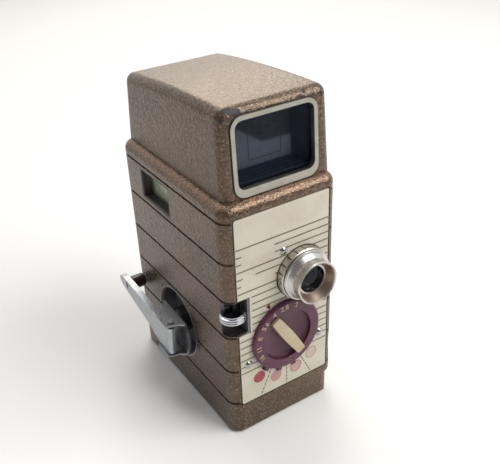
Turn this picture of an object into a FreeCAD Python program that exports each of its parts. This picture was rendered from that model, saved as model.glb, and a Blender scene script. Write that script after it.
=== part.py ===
import FreeCAD, Part
import math
import os

# Spring-wound pocket movie camera for double eight millimetre film.
# Frame: +X towards the film door, -X towards the winding crank, -Y out of the lens, +Z up.
# The origin is the middle of the tripod socket's mouth in the flat base. All sizes in mm.

# Body casting
BODY_WIDTH = 54.0
BODY_DEPTH = 86.0
BODY_HEIGHT = 111.5
WALL = 2.0
CORNER_RADIUS = 5.4
SHOULDER_RADIUS = 4.0
BASE_EDGE_RADIUS = 1.5
GROOVE_TOP_Z = BODY_HEIGHT - 6.25
GROOVE_PITCH = 17.65
GROOVE_COUNT = 6
GROOVE_RADIUS = 0.55
GROOVE_STOP_X = 23.3

# Film door on the +X side
DOOR_DEPTH = 4.2
DOOR_TOP_Z = GROOVE_TOP_Z
DOOR_GAP = 0.15
SKIRT_TOP_Z = 12.0
SKIRT_INSET = 2.4
SKIRT_CORNER_RADIUS = 4.6
HINGE_OFFSET = 1.5
HINGE_LOW_Z = 25.25
KNUCKLE_LENGTH = 11.0
KNUCKLE_COUNT = 5
KNUCKLE_RADIUS = 1.5
HINGE_PIN_RADIUS = 0.7
LATCH_Y = -31.0
LATCH_Z = 54.25
LATCH_KNOB_RADIUS = 7.5
LATCH_KNOB_HEIGHT = 2.6
LATCH_BAR_HEIGHT = 1.8
LATCH_SHANK_RADIUS = 2.2
LATCH_TONGUE_LENGTH = 7.6
LATCH_TONGUE_ROOT = 3.2
LATCH_TONGUE_TIP = 2.0
LATCH_TONGUE_INSET = 2.2
LATCH_TONGUE_THICKNESS = 1.0

# Fits
RUNNING = 0.05
SEAT = 0.02
SIDE_PLAY = 0.2
CLEAR = 0.3

# Face plate, its screws and the printed-dial well
PLATE_WIDTH = 44.6
PLATE_LOW_Z = 16.1
PLATE_TOP_Z = BODY_HEIGHT - 5.4
PLATE_THICKNESS = 0.6
PLATE_OUTLINE_GAP = 0.5
PLATE_CORNER_RADIUS = 0.8
PLATE_SCREW_PLACES = ((0.0, 85.35), (-18.5, 36.45), (18.5, 36.45))
PLATE_SCREW_HEAD_RADIUS = 1.8
PLATE_SCREW_HEAD_HEIGHT = 1.1
PLATE_SCREW_SHANK_RADIUS = 0.8

# Release button in its corner notch
NOTCH_WIDTH = 9.4
NOTCH_DEPTH = 5.2
NOTCH_LOW_Z = 53.25
NOTCH_TOP_Z = 69.25
NOTCH_LINER = 1.5
NOTCH_RIM = 0.9
BUTTON_FROM_SIDE = 3.6
BUTTON_FROM_FRONT = 2.7
BUTTON_RADIUS = 5.4
BUTTON_HEIGHT = 3.6
BUTTON_Z = 62.9
BUTTON_TRAVEL = 3.0
BUTTON_RIBS = 3
BUTTON_RIB_DEPTH = 0.5
SHANK_WIDTH = 4.0
SHANK_HEIGHT = 2.0
SLIDE_WIDTH = 4.0
SLIDE_OFFSET = 1.2
SLIDE_THICKNESS = 1.2
SLIDE_LOW_Z = 48.25
SLIDE_TOP_Z = 77.25
SPRING_WIRE_RADIUS = 0.25
SPRING_COIL_RADIUS = 1.6
SPRING_TURNS = 6
SPRING_SHELF_Z = 37.25
LEVER_PIVOT_DISTANCE = 7.0
LEVER_SHAFT_RADIUS = 1.0
LEVER_PIN_RADIUS = 0.7
LEVER_THICKNESS = 0.9
LEVER_ARM_WIDTH = 2.4
STOP_ARM_X = -9.2

# Lens, focused by turning its front sleeve
LENS_X = 8.3
LENS_Z = 72.85
LENS_BASE_RADIUS = 11.7
LENS_BASE_LENGTH = 3.6
LENS_BASE_FLUTES = 20
LENS_WAIST_RADIUS = 9.0
LENS_SHOULDER_RADIUS = 11.0
LENS_RIM_RADIUS = 9.6
LENS_LENGTH = 11.7
LENS_LIP = 0.45
LENS_GLASS_RADIUS = 5.85
LENS_GLASS_SET = 7.2
LENS_TUBE_RADIUS = 7.2
LENS_REAR_RADIUS = 4.8
LENS_FRONT_THICKNESS = 3.1
LENS_REAR_THICKNESS = 2.7

# Exposure dial and the aperture disc that it drives
DIAL_Z = 44.9
DIAL_RADIUS = 16.65
DIAL_PROUD = 2.3
DIAL_BOWL_RADIUS = 12.0
DIAL_BOWL_DEPTH = 3.4
DIAL_EDGE = (0.4, 0.7)
DIAL_BOWL_BALL = 55.0
DIAL_BOWL_BEND = 1.4
DIAL_SKIN = 0.7
DIAL_TOOTH_RADIUS = 18.3
DIAL_TOOTH_ANGLES = (-128.0, -103.5, -79.0)
DIAL_TOOTH_WIDTH = 2.2
DIAL_STEP = 22.4
BAR_LENGTH = 24.5
BAR_WIDTH = 5.0
BAR_END_WIDTH = 4.0
BAR_CORNER_RADIUS = 0.5
BAR_PROUD = 3.5
BAR_ANGLE = -58.0
DIAL_SHAFT_RADIUS = 1.5
DIAL_GEAR_TEETH = 54
APERTURE_GEAR_TEETH = 48
APERTURE_CIRCLE_RADIUS = 9.0
APERTURE_FULL = 4.2
APERTURE_NUMBERS = (2.0, 2.8, 4.0, 5.6, 8.0, 11.0, 16.0)
APERTURE_AT_REST = 2
GEAR_THICKNESS = 1.0
STUD_RADIUS = 1.5

# Gear teeth
GEAR_MODULE = 0.5
PRESSURE_ANGLE = math.radians(25.0)
ADDENDUM = 0.8
DEDENDUM = 1.05
BACKLASH = 0.10
MITRE_TEETH = 12
MITRE_MODULE = 0.7
MITRE_TOE = 0.68
MITRE_BACKLASH = 0.3
MITRE_HUB_RADIUS = 2.4

# Clockwork train between the mechanism plate and the train bridge
BARREL_Y = 3.3
BARREL_Z = 34.25
GREAT_TEETH = 84
SECOND_PINION_TEETH = 14
SECOND_WHEEL_TEETH = 72
THIRD_PINION_TEETH = 12
THIRD_WHEEL_TEETH = 40
DRIVE_PINION_TEETH = 12
GOVERNOR_PINION_TEETH = 10
TAKE_UP_TEETH = 40
DRIVE_SHAFT_Y = -17.0
GOVERNOR_ANGLE = 70.0
SHAFT_RADIUS = 1.2
PIVOT_RADIUS = 0.8
SHUTTER_SHAFT_RADIUS = 1.0
PLATE_X = 1.0
MECHANISM_PLATE_THICKNESS = 1.5
BRIDGE_X = -13.0
BRIDGE_THICKNESS = 1.2
BRIDGE_Y = (-23.5, 35.4)
BRIDGE_Z = (55.25, BODY_HEIGHT - 10.85)
PILLAR_RADIUS = 1.8
PILLAR_TOP_Z = BODY_HEIGHT - 13.25
PILLAR_PLACES = ((-21.0, 58.25), (33.0, 61.25), (-21.0, PILLAR_TOP_Z), (33.0, PILLAR_TOP_Z))
POST_RADIUS = 3.0
POST_PLACES = (
    (-30.0, 10.25), (36.0, 10.25), (-30.0, BODY_HEIGHT - 8.25), (37.0, BODY_HEIGHT - 7.75))
SCREW_RADIUS = 1.0
SCREW_HEAD_RADIUS = 1.9
SCREW_HEAD_HEIGHT = 0.7
GREAT_WHEEL_X = -8.4
SECOND_WHEEL_X = -4.2
THIRD_WHEEL_X = -7.0
PINION_OVERHANG = 0.2
GOVERNOR_RADIUS = 6.0
STOP_CAM_RADIUS = 2.6

# Mainspring barrel and its winding arbor
BARREL_RADIUS = 20.2
BARREL_LENGTH = 10.0
BARREL_WALL = 0.9
ARBOR_RADIUS = 2.5
SPRING_BAND = 0.6
SPRING_COILS = 8
RATCHET_TEETH = 24
RATCHET_RADIUS = 8.0
RATCHET_DEPTH = 0.9
RATCHET_THICKNESS = 0.8
PAWL_DISTANCE = 11.6
PAWL_ANGLE = 30.0
PAWL_STUD_RADIUS = 0.7
PAWL_STUD_DEPTH = 1.0

# Winding crank in its round well
WELL_RADIUS = 16.5
WELL_FLOOR_RADIUS = 14.0
WELL_DEPTH = 6.5
WELL_FLOOR = 1.5
CRANK_REST_ANGLE = 4.5
CRANK_HUB_RADIUS = 6.0
YOKE_BASE_X = -30.5
YOKE_OUTER_X = -38.2
YOKE_SHEET = 0.8
YOKE_HALF_HEIGHT = 9.1
YOKE_FRONT = -13.6
YOKE_BACK = 10.0
YOKE_ARC_RISE = 3.1
YOKE_CHEEK_FRONT = -7.0
YOKE_CHEEK_BACK = 4.0
FOLD_PIN_X = -34.8
FOLD_PIN_Y = -4.6
FOLD_PIN_RADIUS = 1.0
RIVET_RADIUS = 1.7
RIVET_HEIGHT = 0.5
ARM_SHEET = 0.8
ARM_WEB_OUT = 2.2
ARM_EDGE_IN = 0.6
ARM_FRONT = 3.1
ARM_FRONT_BEND = 1.6
ARM_EAR_IN = 1.9
ARM_EAR_REACH = 6.0
ARM_STATIONS = ((0.0, 7.3), (3.0, 8.05), (9.0, 8.05), (14.5, 6.9), (21.5, 5.3), (32.0, 4.4), (44.0, 3.2))
ARM_SKEW = 5.2
ARM_SKEW_FROM = 9.0
ARM_LENGTH = 47.8
KNOB_REACH = 40.8
KNOB_RADIUS = 3.3
KNOB_SIDE_GAP = 0.5
KNOB_PIN_RADIUS = 0.9
KNOB_PIN_COLLAR = 1.5

# Film chamber
SPOOL_RADIUS = 25.0
SPOOL_FLANGE = 0.8
SPOOL_WIDTH = 18.0
SPOOL_CORE_RADIUS = 8.0
SPOOL_BORE = 4.2
SPOOL_WINDOW_RADIUS = 4.5
FEED_BELOW_TOP = 31.85
TAKE_UP_DISTANCE = 12.5
TAKE_UP_Z = 29.05
SPINDLE_RADIUS = 4.1
SPINDLE_SHAFT_RADIUS = 1.6
FEELER_LENGTH = 22.0
FEELER_TO_SPOOL = 28.5
FEELER_TIP_RADIUS = 1.2
FEELER_WIDTH = 2.6
FEELER_X = 9.0
GUIDE_POST_RADIUS = 2.5
GUIDE_POST_PLACES = ((-26.0, 95.25), (-22.0, 41.25))

# Footage counter
COUNTER_Y = 10.8
COUNTER_BELOW_WINDOW = 6.75
COUNTER_TO_FEELER = 24.5
COUNTER_GEAR_TEETH = 20
SECTOR_TEETH = 78
SECTOR_HALF_ANGLE = 34.0
COUNTER_DIAL_RADIUS = 20.0
COUNTER_DIAL_THICKNESS = 0.6
WINDOW_FRONT_Y = 0.2
WINDOW_BACK_Y = 24.8
WINDOW_HEIGHT = 13.1
WINDOW_TOP_MARGIN = 8.4
WINDOW_RECESS = 4.2
WINDOW_BEVEL = 0.5
WINDOW_PANE = 0.8
WINDOW_PANE_LAP = 0.9
WINDOW_LIP = 0.1
WINDOW_FRAME_WALL = 1.2
SECTOR_X = -15.2

# Film gate, shutter and claw
SHUTTER_RADIUS = 12.6
SHUTTER_THICKNESS = 0.4
SHUTTER_OPEN_ANGLE = 170.0
GATE_THICKNESS = 1.2
GATE_WIDTH = 4.8
GATE_HEIGHT = 3.6
GATE_LOW_Z = 58.25
GATE_TOP_Z = 87.25
FILM_WIDTH = 16.0
FRAME_OFFSET = 4.2
FILM_GAP = 0.15
PRESSURE_LENGTH = 22.0
PRESSURE_THICKNESS = 1.2
PRESSURE_TRAVEL = 2.0
GATE_BRACKET_FROM_FRONT = 16.0
BEARING_LENGTH = 2.6
BEARING_HALF = 2.8
LEAF_HALF_LENGTH = 9.0
LEAF_WIDTH = 6.0
LEAF_THICKNESS = 0.3
LEAF_SLOT_RADIUS = 1.3
CLAW_THICKNESS = 0.8
CLAW_BAND = 1.2
CLAW_STROKE = 3.8
CLAW_TAB_WIDTH = 3.4
CLAW_TOOTH_WIDTH = 0.8
CLAW_PIN_RADIUS = 0.5
CRANK_PIN_RADIUS = 0.6
PERFORATION_INSET = 1.2
PERFORATION_RISE = 6.9

# Finder housing on top
HOOD_LEFT_X = -23.4
HOOD_RIGHT_X = 26.7
HOOD_FRONT_Y = -38.8
HOOD_BACK_Y = 42.65
HOOD_FRONT_TOP_Z = BODY_HEIGHT + 34.95
HOOD_CREST_Y = -8.0
HOOD_CREST_Z = BODY_HEIGHT + 34.05
HOOD_BACK_TOP_Z = BODY_HEIGHT + 29.35
HOOD_FRONT_LEAN = 2.75
HOOD_BACK_LEAN = 4.5
HOOD_LEFT_LEAN = 1.2
HOOD_RIGHT_LEAN = 2.0
HOOD_EDGE_RADIUS = 4.0
HOOD_WALL = 1.6
FINDER_X = 0.6
FINDER_FRAME_HALF = 19.25
FINDER_FRAME_LOW_Z = BODY_HEIGHT + 0.4
FINDER_FRAME_TOP_Z = BODY_HEIGHT + 31.75
FINDER_FRAME_BAND = 1.7
FINDER_FRAME_SILL = 3.2
FINDER_FRAME_RADIUS = 5.0
FINDER_FRAME_PROUD = 0.7
FINDER_FRAME_COLLAR = 0.8
FINDER_GLASS = 1.2
FINDER_GLASS_SET = 0.3
FINDER_AXIS_Z = BODY_HEIGHT + 17.15
FINDER_TUBE_FRONT = 3.5
FINDER_TUBE_MARGIN = 0.5
FINDER_TUBE_WALL = 0.8
FINDER_RIB_COUNT = 4
FINDER_RIB_PITCH = 1.2
FINDER_RIB = 0.45
FINDER_MASK_SETBACK = 9.55
FINDER_MASK_HALF = 12.9
FINDER_MASK_BELOW = 10.3
FINDER_MASK_ABOVE = 10.0
FINDER_MASK_GLASS = 1.5
EYEPIECE_RADIUS = 5.0
EYEPIECE_WALL = 1.2
EYEPIECE_FLANGE = 3.0
EYEPIECE_BOSS = 4.0
EYEPIECE_LENGTH = 7.0
EYEPIECE_PROUD = 2.4

# Tripod socket
SOCKET_RADIUS = 3.175
SOCKET_DEPTH = 4.4
SOCKET_BUSH_RADIUS = 4.5
SOCKET_BUSH_HEIGHT = 5.2


# Values that follow from the sizes above
SIDE_X = BODY_WIDTH / 2
FRONT_Y = -BODY_DEPTH / 2
BACK_Y = BODY_DEPTH / 2
PARTING_X = SIDE_X - DOOR_DEPTH
LATCH_TONGUE_X = PARTING_X - LATCH_TONGUE_INSET
SKIRT_X = SIDE_X - SKIRT_INSET
DOOR_LOW_Z = WALL + DOOR_GAP
INNER_SIDE_X = SIDE_X - WALL
INNER_FRONT_Y = FRONT_Y + WALL
INNER_BACK_Y = BACK_Y - WALL
HINGE_Y = BACK_Y + HINGE_OFFSET
BARREL_AT = (BARREL_Y, BARREL_Z)
LENS_AT = (LENS_X, LENS_Z)
DIAL_AT = (0.0, DIAL_Z)
WELL_FLOOR_X = -SIDE_X + WELL_DEPTH
WELL_INNER_X = WELL_FLOOR_X + WELL_FLOOR
PLATE_BACK_X = PLATE_X + MECHANISM_PLATE_THICKNESS
BRIDGE_BACK_X = BRIDGE_X + BRIDGE_THICKNESS
NOTCH_BACK_Y = FRONT_Y + NOTCH_DEPTH + NOTCH_LINER
BUTTON_X = -SIDE_X + BUTTON_FROM_SIDE
BUTTON_Y = FRONT_Y + BUTTON_FROM_FRONT
SLIDE_X = (BUTTON_X - SLIDE_OFFSET, BUTTON_X - SLIDE_OFFSET + SLIDE_WIDTH)
SLIDE_Y = (NOTCH_BACK_Y + SIDE_PLAY, NOTCH_BACK_Y + SIDE_PLAY + SLIDE_THICKNESS)
SPRING_AT = ((SLIDE_X[0] + SLIDE_X[1]) / 2, (SLIDE_Y[0] + SLIDE_Y[1]) / 2)
FILM_MIDDLE_X = LENS_X + FRAME_OFFSET
SPOOL_LOW_X = FILM_MIDDLE_X - SPOOL_WIDTH / 2


def meet(first, first_distance, second, second_distance, side):
    """Point at two distances from two centres, left (+1) or right (-1) of the line between them."""
    across = second[0] - first[0]
    up = second[1] - first[1]
    span = math.hypot(across, up)
    along = (first_distance ** 2 - second_distance ** 2 + span ** 2) / (2 * span)
    off = side * math.sqrt(first_distance ** 2 - along ** 2)
    return (
        first[0] + (along * across - off * up) / span,
        first[1] + (along * up + off * across) / span,
    )


def toward(start, end):
    """Angle in radians of the line from one centre to another."""
    return math.atan2(end[1] - start[1], end[0] - start[0])


def mesh_distance(teeth_a, teeth_b):
    """Centre distance of two wheels in mesh."""
    return GEAR_MODULE * (teeth_a + teeth_b) / 2


def mesh_phase(centre_a, teeth_a, phase_a, centre_b, teeth_b):
    """Phase of wheel b that puts one of its gaps on the tooth of wheel a that it meets."""
    line = toward(centre_a, centre_b)
    return line + math.pi - (phase_a - line) * teeth_a / teeth_b + math.pi / teeth_b


# Places of the shafts, worked out from the tooth counts
TAKE_UP_AT = (
    BARREL_Y + math.sqrt(TAKE_UP_DISTANCE ** 2 - (BARREL_Z - TAKE_UP_Z) ** 2),
    TAKE_UP_Z,
)
FEED_AT = (TAKE_UP_AT[0], BODY_HEIGHT - FEED_BELOW_TOP)
SECOND_AT = meet(
    BARREL_AT, mesh_distance(GREAT_TEETH, SECOND_PINION_TEETH),
    TAKE_UP_AT, mesh_distance(SECOND_WHEEL_TEETH, TAKE_UP_TEETH), 1,
)
SHUTTER_AT = meet(
    DIAL_AT, mesh_distance(DIAL_GEAR_TEETH, APERTURE_GEAR_TEETH), LENS_AT, APERTURE_CIRCLE_RADIUS, 1,
)
DRIVE_AT = (DRIVE_SHAFT_Y, SHUTTER_AT[1])
THIRD_AT = meet(
    SECOND_AT, mesh_distance(SECOND_WHEEL_TEETH, THIRD_PINION_TEETH),
    DRIVE_AT, mesh_distance(THIRD_WHEEL_TEETH, DRIVE_PINION_TEETH), -1,
)
GOVERNOR_REACH = mesh_distance(THIRD_WHEEL_TEETH, GOVERNOR_PINION_TEETH)
GOVERNOR_AT = (
    THIRD_AT[0] + GOVERNOR_REACH * math.cos(math.radians(GOVERNOR_ANGLE)),
    THIRD_AT[1] + GOVERNOR_REACH * math.sin(math.radians(GOVERNOR_ANGLE)),
)
WINDOW_TOP_Z = BODY_HEIGHT - WINDOW_TOP_MARGIN
WINDOW_LOW_Z = WINDOW_TOP_Z - WINDOW_HEIGHT
COUNTER_AT = (COUNTER_Y, WINDOW_LOW_Z - COUNTER_BELOW_WINDOW)
FEELER_AT = meet(COUNTER_AT, COUNTER_TO_FEELER, FEED_AT, FEELER_TO_SPOOL, -1)
LEVER_AT = (SPRING_AT[1] + LEVER_PIVOT_DISTANCE, BUTTON_Z)

# Phases of the wheels, each from the wheel that it meets
DRIVE_PHASE = math.pi
THIRD_WHEEL_PHASE = mesh_phase(
    DRIVE_AT, DRIVE_PINION_TEETH, DRIVE_PHASE, THIRD_AT, THIRD_WHEEL_TEETH)
THIRD_PINION_PHASE = THIRD_WHEEL_PHASE
SECOND_WHEEL_PHASE = mesh_phase(
    THIRD_AT, THIRD_PINION_TEETH, THIRD_PINION_PHASE, SECOND_AT, SECOND_WHEEL_TEETH)
SECOND_PINION_PHASE = SECOND_WHEEL_PHASE
GREAT_PHASE = mesh_phase(
    SECOND_AT, SECOND_PINION_TEETH, SECOND_PINION_PHASE, BARREL_AT, GREAT_TEETH)
TAKE_UP_PHASE = mesh_phase(
    SECOND_AT, SECOND_WHEEL_TEETH, SECOND_WHEEL_PHASE, TAKE_UP_AT, TAKE_UP_TEETH)
GOVERNOR_PHASE = mesh_phase(
    THIRD_AT, THIRD_WHEEL_TEETH, THIRD_WHEEL_PHASE, GOVERNOR_AT, GOVERNOR_PINION_TEETH)
DIAL_PHASE = toward(DIAL_AT, SHUTTER_AT)
APERTURE_PHASE = mesh_phase(
    DIAL_AT, DIAL_GEAR_TEETH, DIAL_PHASE, SHUTTER_AT, APERTURE_GEAR_TEETH)
APERTURE_STEP = DIAL_STEP * DIAL_GEAR_TEETH / APERTURE_GEAR_TEETH
COUNTER_PHASE = toward(COUNTER_AT, FEELER_AT)
SECTOR_PHASE = mesh_phase(
    COUNTER_AT, COUNTER_GEAR_TEETH, COUNTER_PHASE, FEELER_AT, SECTOR_TEETH)

# Stack of thin pieces behind the front wall, each just behind the one before
DIAL_BEARING_Y = FRONT_Y - DIAL_PROUD + DIAL_BOWL_DEPTH + DIAL_SKIN + SIDE_PLAY
DIAL_GEAR_Y = DIAL_BEARING_Y + WALL
SHUTTER_DISC_Y = DIAL_GEAR_Y + GEAR_THICKNESS + 0.6
CLAW_Y = SHUTTER_DISC_Y + SHUTTER_THICKNESS + CLEAR
GATE_Y = CLAW_Y + CLAW_THICKNESS + SIDE_PLAY
GATE_BACK_Y = GATE_Y + GATE_THICKNESS
PRESSURE_Y = GATE_BACK_Y + FILM_GAP
PANE_X = -SIDE_X + WINDOW_RECESS + WINDOW_LIP
COUNTER_DIAL_X = PANE_X + WINDOW_PANE + CLEAR
CRANK_SWEEP = CLAW_STROKE / 2 + CRANK_PIN_RADIUS
CLAW_WINDOW_X = (SHUTTER_AT[0] - CRANK_SWEEP - SIDE_PLAY, SHUTTER_AT[0] + CRANK_SWEEP + SIDE_PLAY)
CLAW_WINDOW_Z = (
    SHUTTER_AT[1] - CRANK_SWEEP - SIDE_PLAY, SHUTTER_AT[1] + CRANK_SWEEP + SIDE_PLAY + CLAW_STROKE)
CLAW_SLOT_LENGTH = CLAW_STROKE + 2 * (CLAW_PIN_RADIUS + RUNNING)
CLAW_SLOT_LOW_Z = (
    CLAW_WINDOW_Z[0] - 2 * CLAW_BAND - CLAW_SLOT_LENGTH, CLAW_WINDOW_Z[1] + 2 * CLAW_BAND)
CLAW_TOOTH_X = FILM_MIDDLE_X - FILM_WIDTH / 2 + PERFORATION_INSET
CLAW_TOOTH_Z = LENS_Z + PERFORATION_RISE
CLAW_SLOT_Z = (CLAW_TOOTH_Z - CLAW_STROKE - CLAW_TOOTH_WIDTH, CLAW_TOOTH_Z + CLAW_TOOTH_WIDTH)
GATE_BRACKET_Y = FRONT_Y + GATE_BRACKET_FROM_FRONT
GATE_SCREW_Y = GATE_BACK_Y + 4.0
GATE_SCREW_Z = (GATE_LOW_Z + 3.0, GATE_TOP_Z - 3.0)
BRACKET_SCREW_Y = GATE_BRACKET_Y + 2.6
BRACKET_SCREW_Z = (LENS_Z - 7.0, LENS_Z + 7.0)
GATE_SCREW_PLACES = tuple(
    [(GATE_SCREW_Y, z) for z in GATE_SCREW_Z] + [(BRACKET_SCREW_Y, z) for z in BRACKET_SCREW_Z])
PRESSURE_PIN_Z = (LENS_Z - 6.0, LENS_Z + 6.0)
PRESSURE_SPAN_X = (FILM_MIDDLE_X - FILM_WIDTH / 2 + 0.4, FILM_MIDDLE_X + FILM_WIDTH / 2 - 0.4)

# Finder opening and the seat of its eyepiece on the leaning back
FINDER_OPEN_X = (
    FINDER_X - FINDER_FRAME_HALF + FINDER_FRAME_BAND, FINDER_X + FINDER_FRAME_HALF - FINDER_FRAME_BAND)
FINDER_OPEN_Z = (FINDER_FRAME_LOW_Z + FINDER_FRAME_SILL, FINDER_FRAME_TOP_Z - FINDER_FRAME_BAND)
FINDER_OPEN_RADIUS = FINDER_FRAME_RADIUS - FINDER_FRAME_BAND
FINDER_MASK_Y = HOOD_FRONT_Y + FINDER_MASK_SETBACK
EYEPIECE_SEAT_Y = HOOD_BACK_Y - math.tan(math.radians(HOOD_BACK_LEAN)) * (
    FINDER_AXIS_Z - EYEPIECE_RADIUS - EYEPIECE_BOSS - BODY_HEIGHT)

# Places round the barrel and the crank
BRACKET_POSTS = ((BARREL_Y - 28.5, BARREL_Z + 2.0), (BARREL_Y + 26.0, BARREL_Z - 12.0))
PAWL_AT = (
    BARREL_Y - PAWL_DISTANCE * math.cos(math.radians(PAWL_ANGLE)),
    BARREL_Z + PAWL_DISTANCE * math.sin(math.radians(PAWL_ANGLE)),
)
ARM_SLOPE = math.tan(math.radians(ARM_SKEW))
KNOB_AT = (
    FOLD_PIN_Y + KNOB_REACH, BARREL_Z + ARM_SLOPE * (KNOB_REACH + ARM_FRONT - ARM_SKEW_FROM))


def vec(x, y, z):
    """Shorthand for a vector."""
    return FreeCAD.Vector(x, y, z)


def place(axis, along, centre):
    """Point at a distance along an axis whose other two coordinates are the centre."""
    if axis == "x":
        return vec(along, centre[0], centre[1])
    if axis == "y":
        return vec(centre[0], along, centre[1])
    return vec(centre[0], centre[1], along)


DIRECTIONS = {"x": vec(1, 0, 0), "y": vec(0, 1, 0), "z": vec(0, 0, 1)}


def rod(axis, centre, start, end, radius):
    """Round rod along an axis."""
    return Part.makeCylinder(radius, end - start, place(axis, start, centre), DIRECTIONS[axis])


def tube(axis, centre, start, end, radius, bore):
    """Round tube along an axis."""
    return rod(axis, centre, start, end, radius).cut(rod(axis, centre, start - 1, end + 1, bore))


def cone(axis, centre, start, end, radius_start, radius_end):
    """Cone along an axis."""
    return Part.makeCone(
        radius_start, radius_end, end - start, place(axis, start, centre), DIRECTIONS[axis])


def block(x, y, z):
    """Box between pairs of limits."""
    return Part.makeBox(x[1] - x[0], y[1] - y[0], z[1] - z[0], vec(x[0], y[0], z[0]))


def turned(axis, centre, outline):
    """Solid turned round an axis from (along, radius) points."""
    aside = {"x": vec(0, 1, 0), "y": vec(1, 0, 0), "z": vec(1, 0, 0)}[axis]
    points = [place(axis, along, centre) + aside * radius for along, radius in outline]
    face = Part.Face(Part.makePolygon(points + points[:1]))
    return solid_of(face.revolve(place(axis, 0, centre), DIRECTIONS[axis], 360))


def solid_of(shape):
    """The shape with its faces outwards."""
    if shape.Volume < 0:
        shape.reverse()
    return shape


def plate_of(axis, points, start, end):
    """Flat plate from an outline of points across an axis."""
    wire = Part.makePolygon([place(axis, start, point) for point in points + points[:1]])
    return solid_of(Part.Face(wire).extrude(DIRECTIONS[axis] * (end - start)))


def fused(*shapes):
    """One solid from touching pieces."""
    return shapes[0].multiFuse(list(shapes[1:])).removeSplitter()


def bar(axis, first, second, start, end, half_first, half_second):
    """Tapered link with round ends between two centres."""
    line = toward(first, second)
    points = []
    for centre, half, base in ((first, half_first, math.pi / 2), (second, half_second, -math.pi / 2)):
        for step in range(9):
            angle = line + base + step * math.pi / 8
            points.append((centre[0] + half * math.cos(angle), centre[1] + half * math.sin(angle)))
    return plate_of(axis, points, start, end)


def rounded_prism(x, y, z, radius):
    """Upright box with round vertical edges."""
    shape = block(x, y, z)
    return shape.makeFillet(radius, [edge for edge in shape.Edges if upright(edge)])


def upright(edge):
    """Whether an edge runs along Z."""
    first, last = edge.Vertexes[0].Point, edge.Vertexes[-1].Point
    return abs(first.x - last.x) < 1e-6 and abs(first.y - last.y) < 1e-6


def rounded_window(x, y, z, radius):
    """Box with four round corners, seen along Y."""
    shape = block(x, y, z)
    along = [e for e in shape.Edges if abs(e.Vertexes[0].Point.y - e.Vertexes[-1].Point.y) > 1e-6]
    return shape.makeFillet(radius, along)


def involute(angle):
    """Involute function of an angle."""
    return math.tan(angle) - angle


def tooth_outline(teeth, module, phase, backlash):
    """Points round a gear, six to a tooth."""
    pitch = module * teeth / 2
    base = pitch * math.cos(PRESSURE_ANGLE)
    half = math.pi / (2 * teeth) - backlash / (4 * pitch)
    rim = half + involute(PRESSURE_ANGLE)
    radii = (pitch - DEDENDUM * module, pitch, pitch + ADDENDUM * module)
    flank = []
    for radius in radii:
        swing = involute(math.acos(base / radius)) if radius > base else 0.0
        flank.append((radius, rim - swing))
    points = []
    for tooth in range(teeth):
        middle = phase + 2 * math.pi * tooth / teeth
        for radius, swing in flank:
            points.append((radius * math.cos(middle - swing), radius * math.sin(middle - swing)))
        for radius, swing in reversed(flank):
            points.append((radius * math.cos(middle + swing), radius * math.sin(middle + swing)))
    return points


def gear(axis, centre, teeth, start, end, phase):
    """Spur gear along an axis."""
    outline = tooth_outline(teeth, GEAR_MODULE, phase, BACKLASH)
    points = [(centre[0] + u, centre[1] + v) for u, v in outline]
    return plate_of(axis, points, start, end)


def mitre(axis, centre, apex, side, phase):
    """Mitre gear whose cone meets its mate's at the apex along the axis."""
    heel = MITRE_MODULE * MITRE_TEETH / 2
    outline = tooth_outline(MITRE_TEETH, MITRE_MODULE, phase, MITRE_BACKLASH)
    wires = []
    for share in (1.0, MITRE_TOE):
        along = apex + side * heel * share
        points = [place(axis, along, (centre[0] + u * share, centre[1] + v * share)) for u, v in outline]
        wires.append(Part.makePolygon(points + points[:1]))
    return solid_of(Part.makeLoft(wires, True, True))


def pinion_shaft(centre):
    """Shaft between the two mechanism plates, with a thin pivot at each end."""
    body = rod("x", centre, BRIDGE_BACK_X + SIDE_PLAY, PLATE_X - SIDE_PLAY, SHAFT_RADIUS)
    pivots = rod("x", centre, BRIDGE_X, PLATE_BACK_X - CLEAR, PIVOT_RADIUS)
    return body.fuse(pivots)


def wheel_rim(axis, centre, teeth, start, end, phase, crossings):
    """Gear with round lightening holes."""
    shape = gear(axis, centre, teeth, start, end, phase)
    pitch = GEAR_MODULE * teeth / 2
    for index in range(crossings):
        angle = 2 * math.pi * index / crossings
        hole = (centre[0] + 0.55 * pitch * math.cos(angle), centre[1] + 0.55 * pitch * math.sin(angle))
        shape = shape.cut(rod(axis, hole, start - 1, end + 1, 0.24 * pitch))
    return shape


def coil(start, end, centre, radius, turns, wire):
    """Wire coil that climbs along +Z."""
    helix = Part.makeHelix((end - start) / turns, end - start, radius)
    helix.translate(vec(centre[0], centre[1], start))
    section = Part.Wire(Part.makeCircle(wire, vec(centre[0] + radius, centre[1], start), vec(0, 1, 0)))
    return solid_of(Part.Wire(helix.Edges).makePipeShell([section], True, True))


# Casing and door

def body_block():
    """Outer form of the closed body, down to its rounded edges."""
    shape = rounded_prism((-SIDE_X, SIDE_X), (FRONT_Y, BACK_Y), (0, BODY_HEIGHT), CORNER_RADIUS)
    top = [e for e in shape.Edges if e.BoundBox.ZMin > BODY_HEIGHT - 1e-6]
    shape = shape.makeFillet(SHOULDER_RADIUS, top)
    bottom = [e for e in shape.Edges if e.BoundBox.ZMax < 1e-6]
    return shape.makeFillet(BASE_EDGE_RADIUS, bottom)


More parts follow.
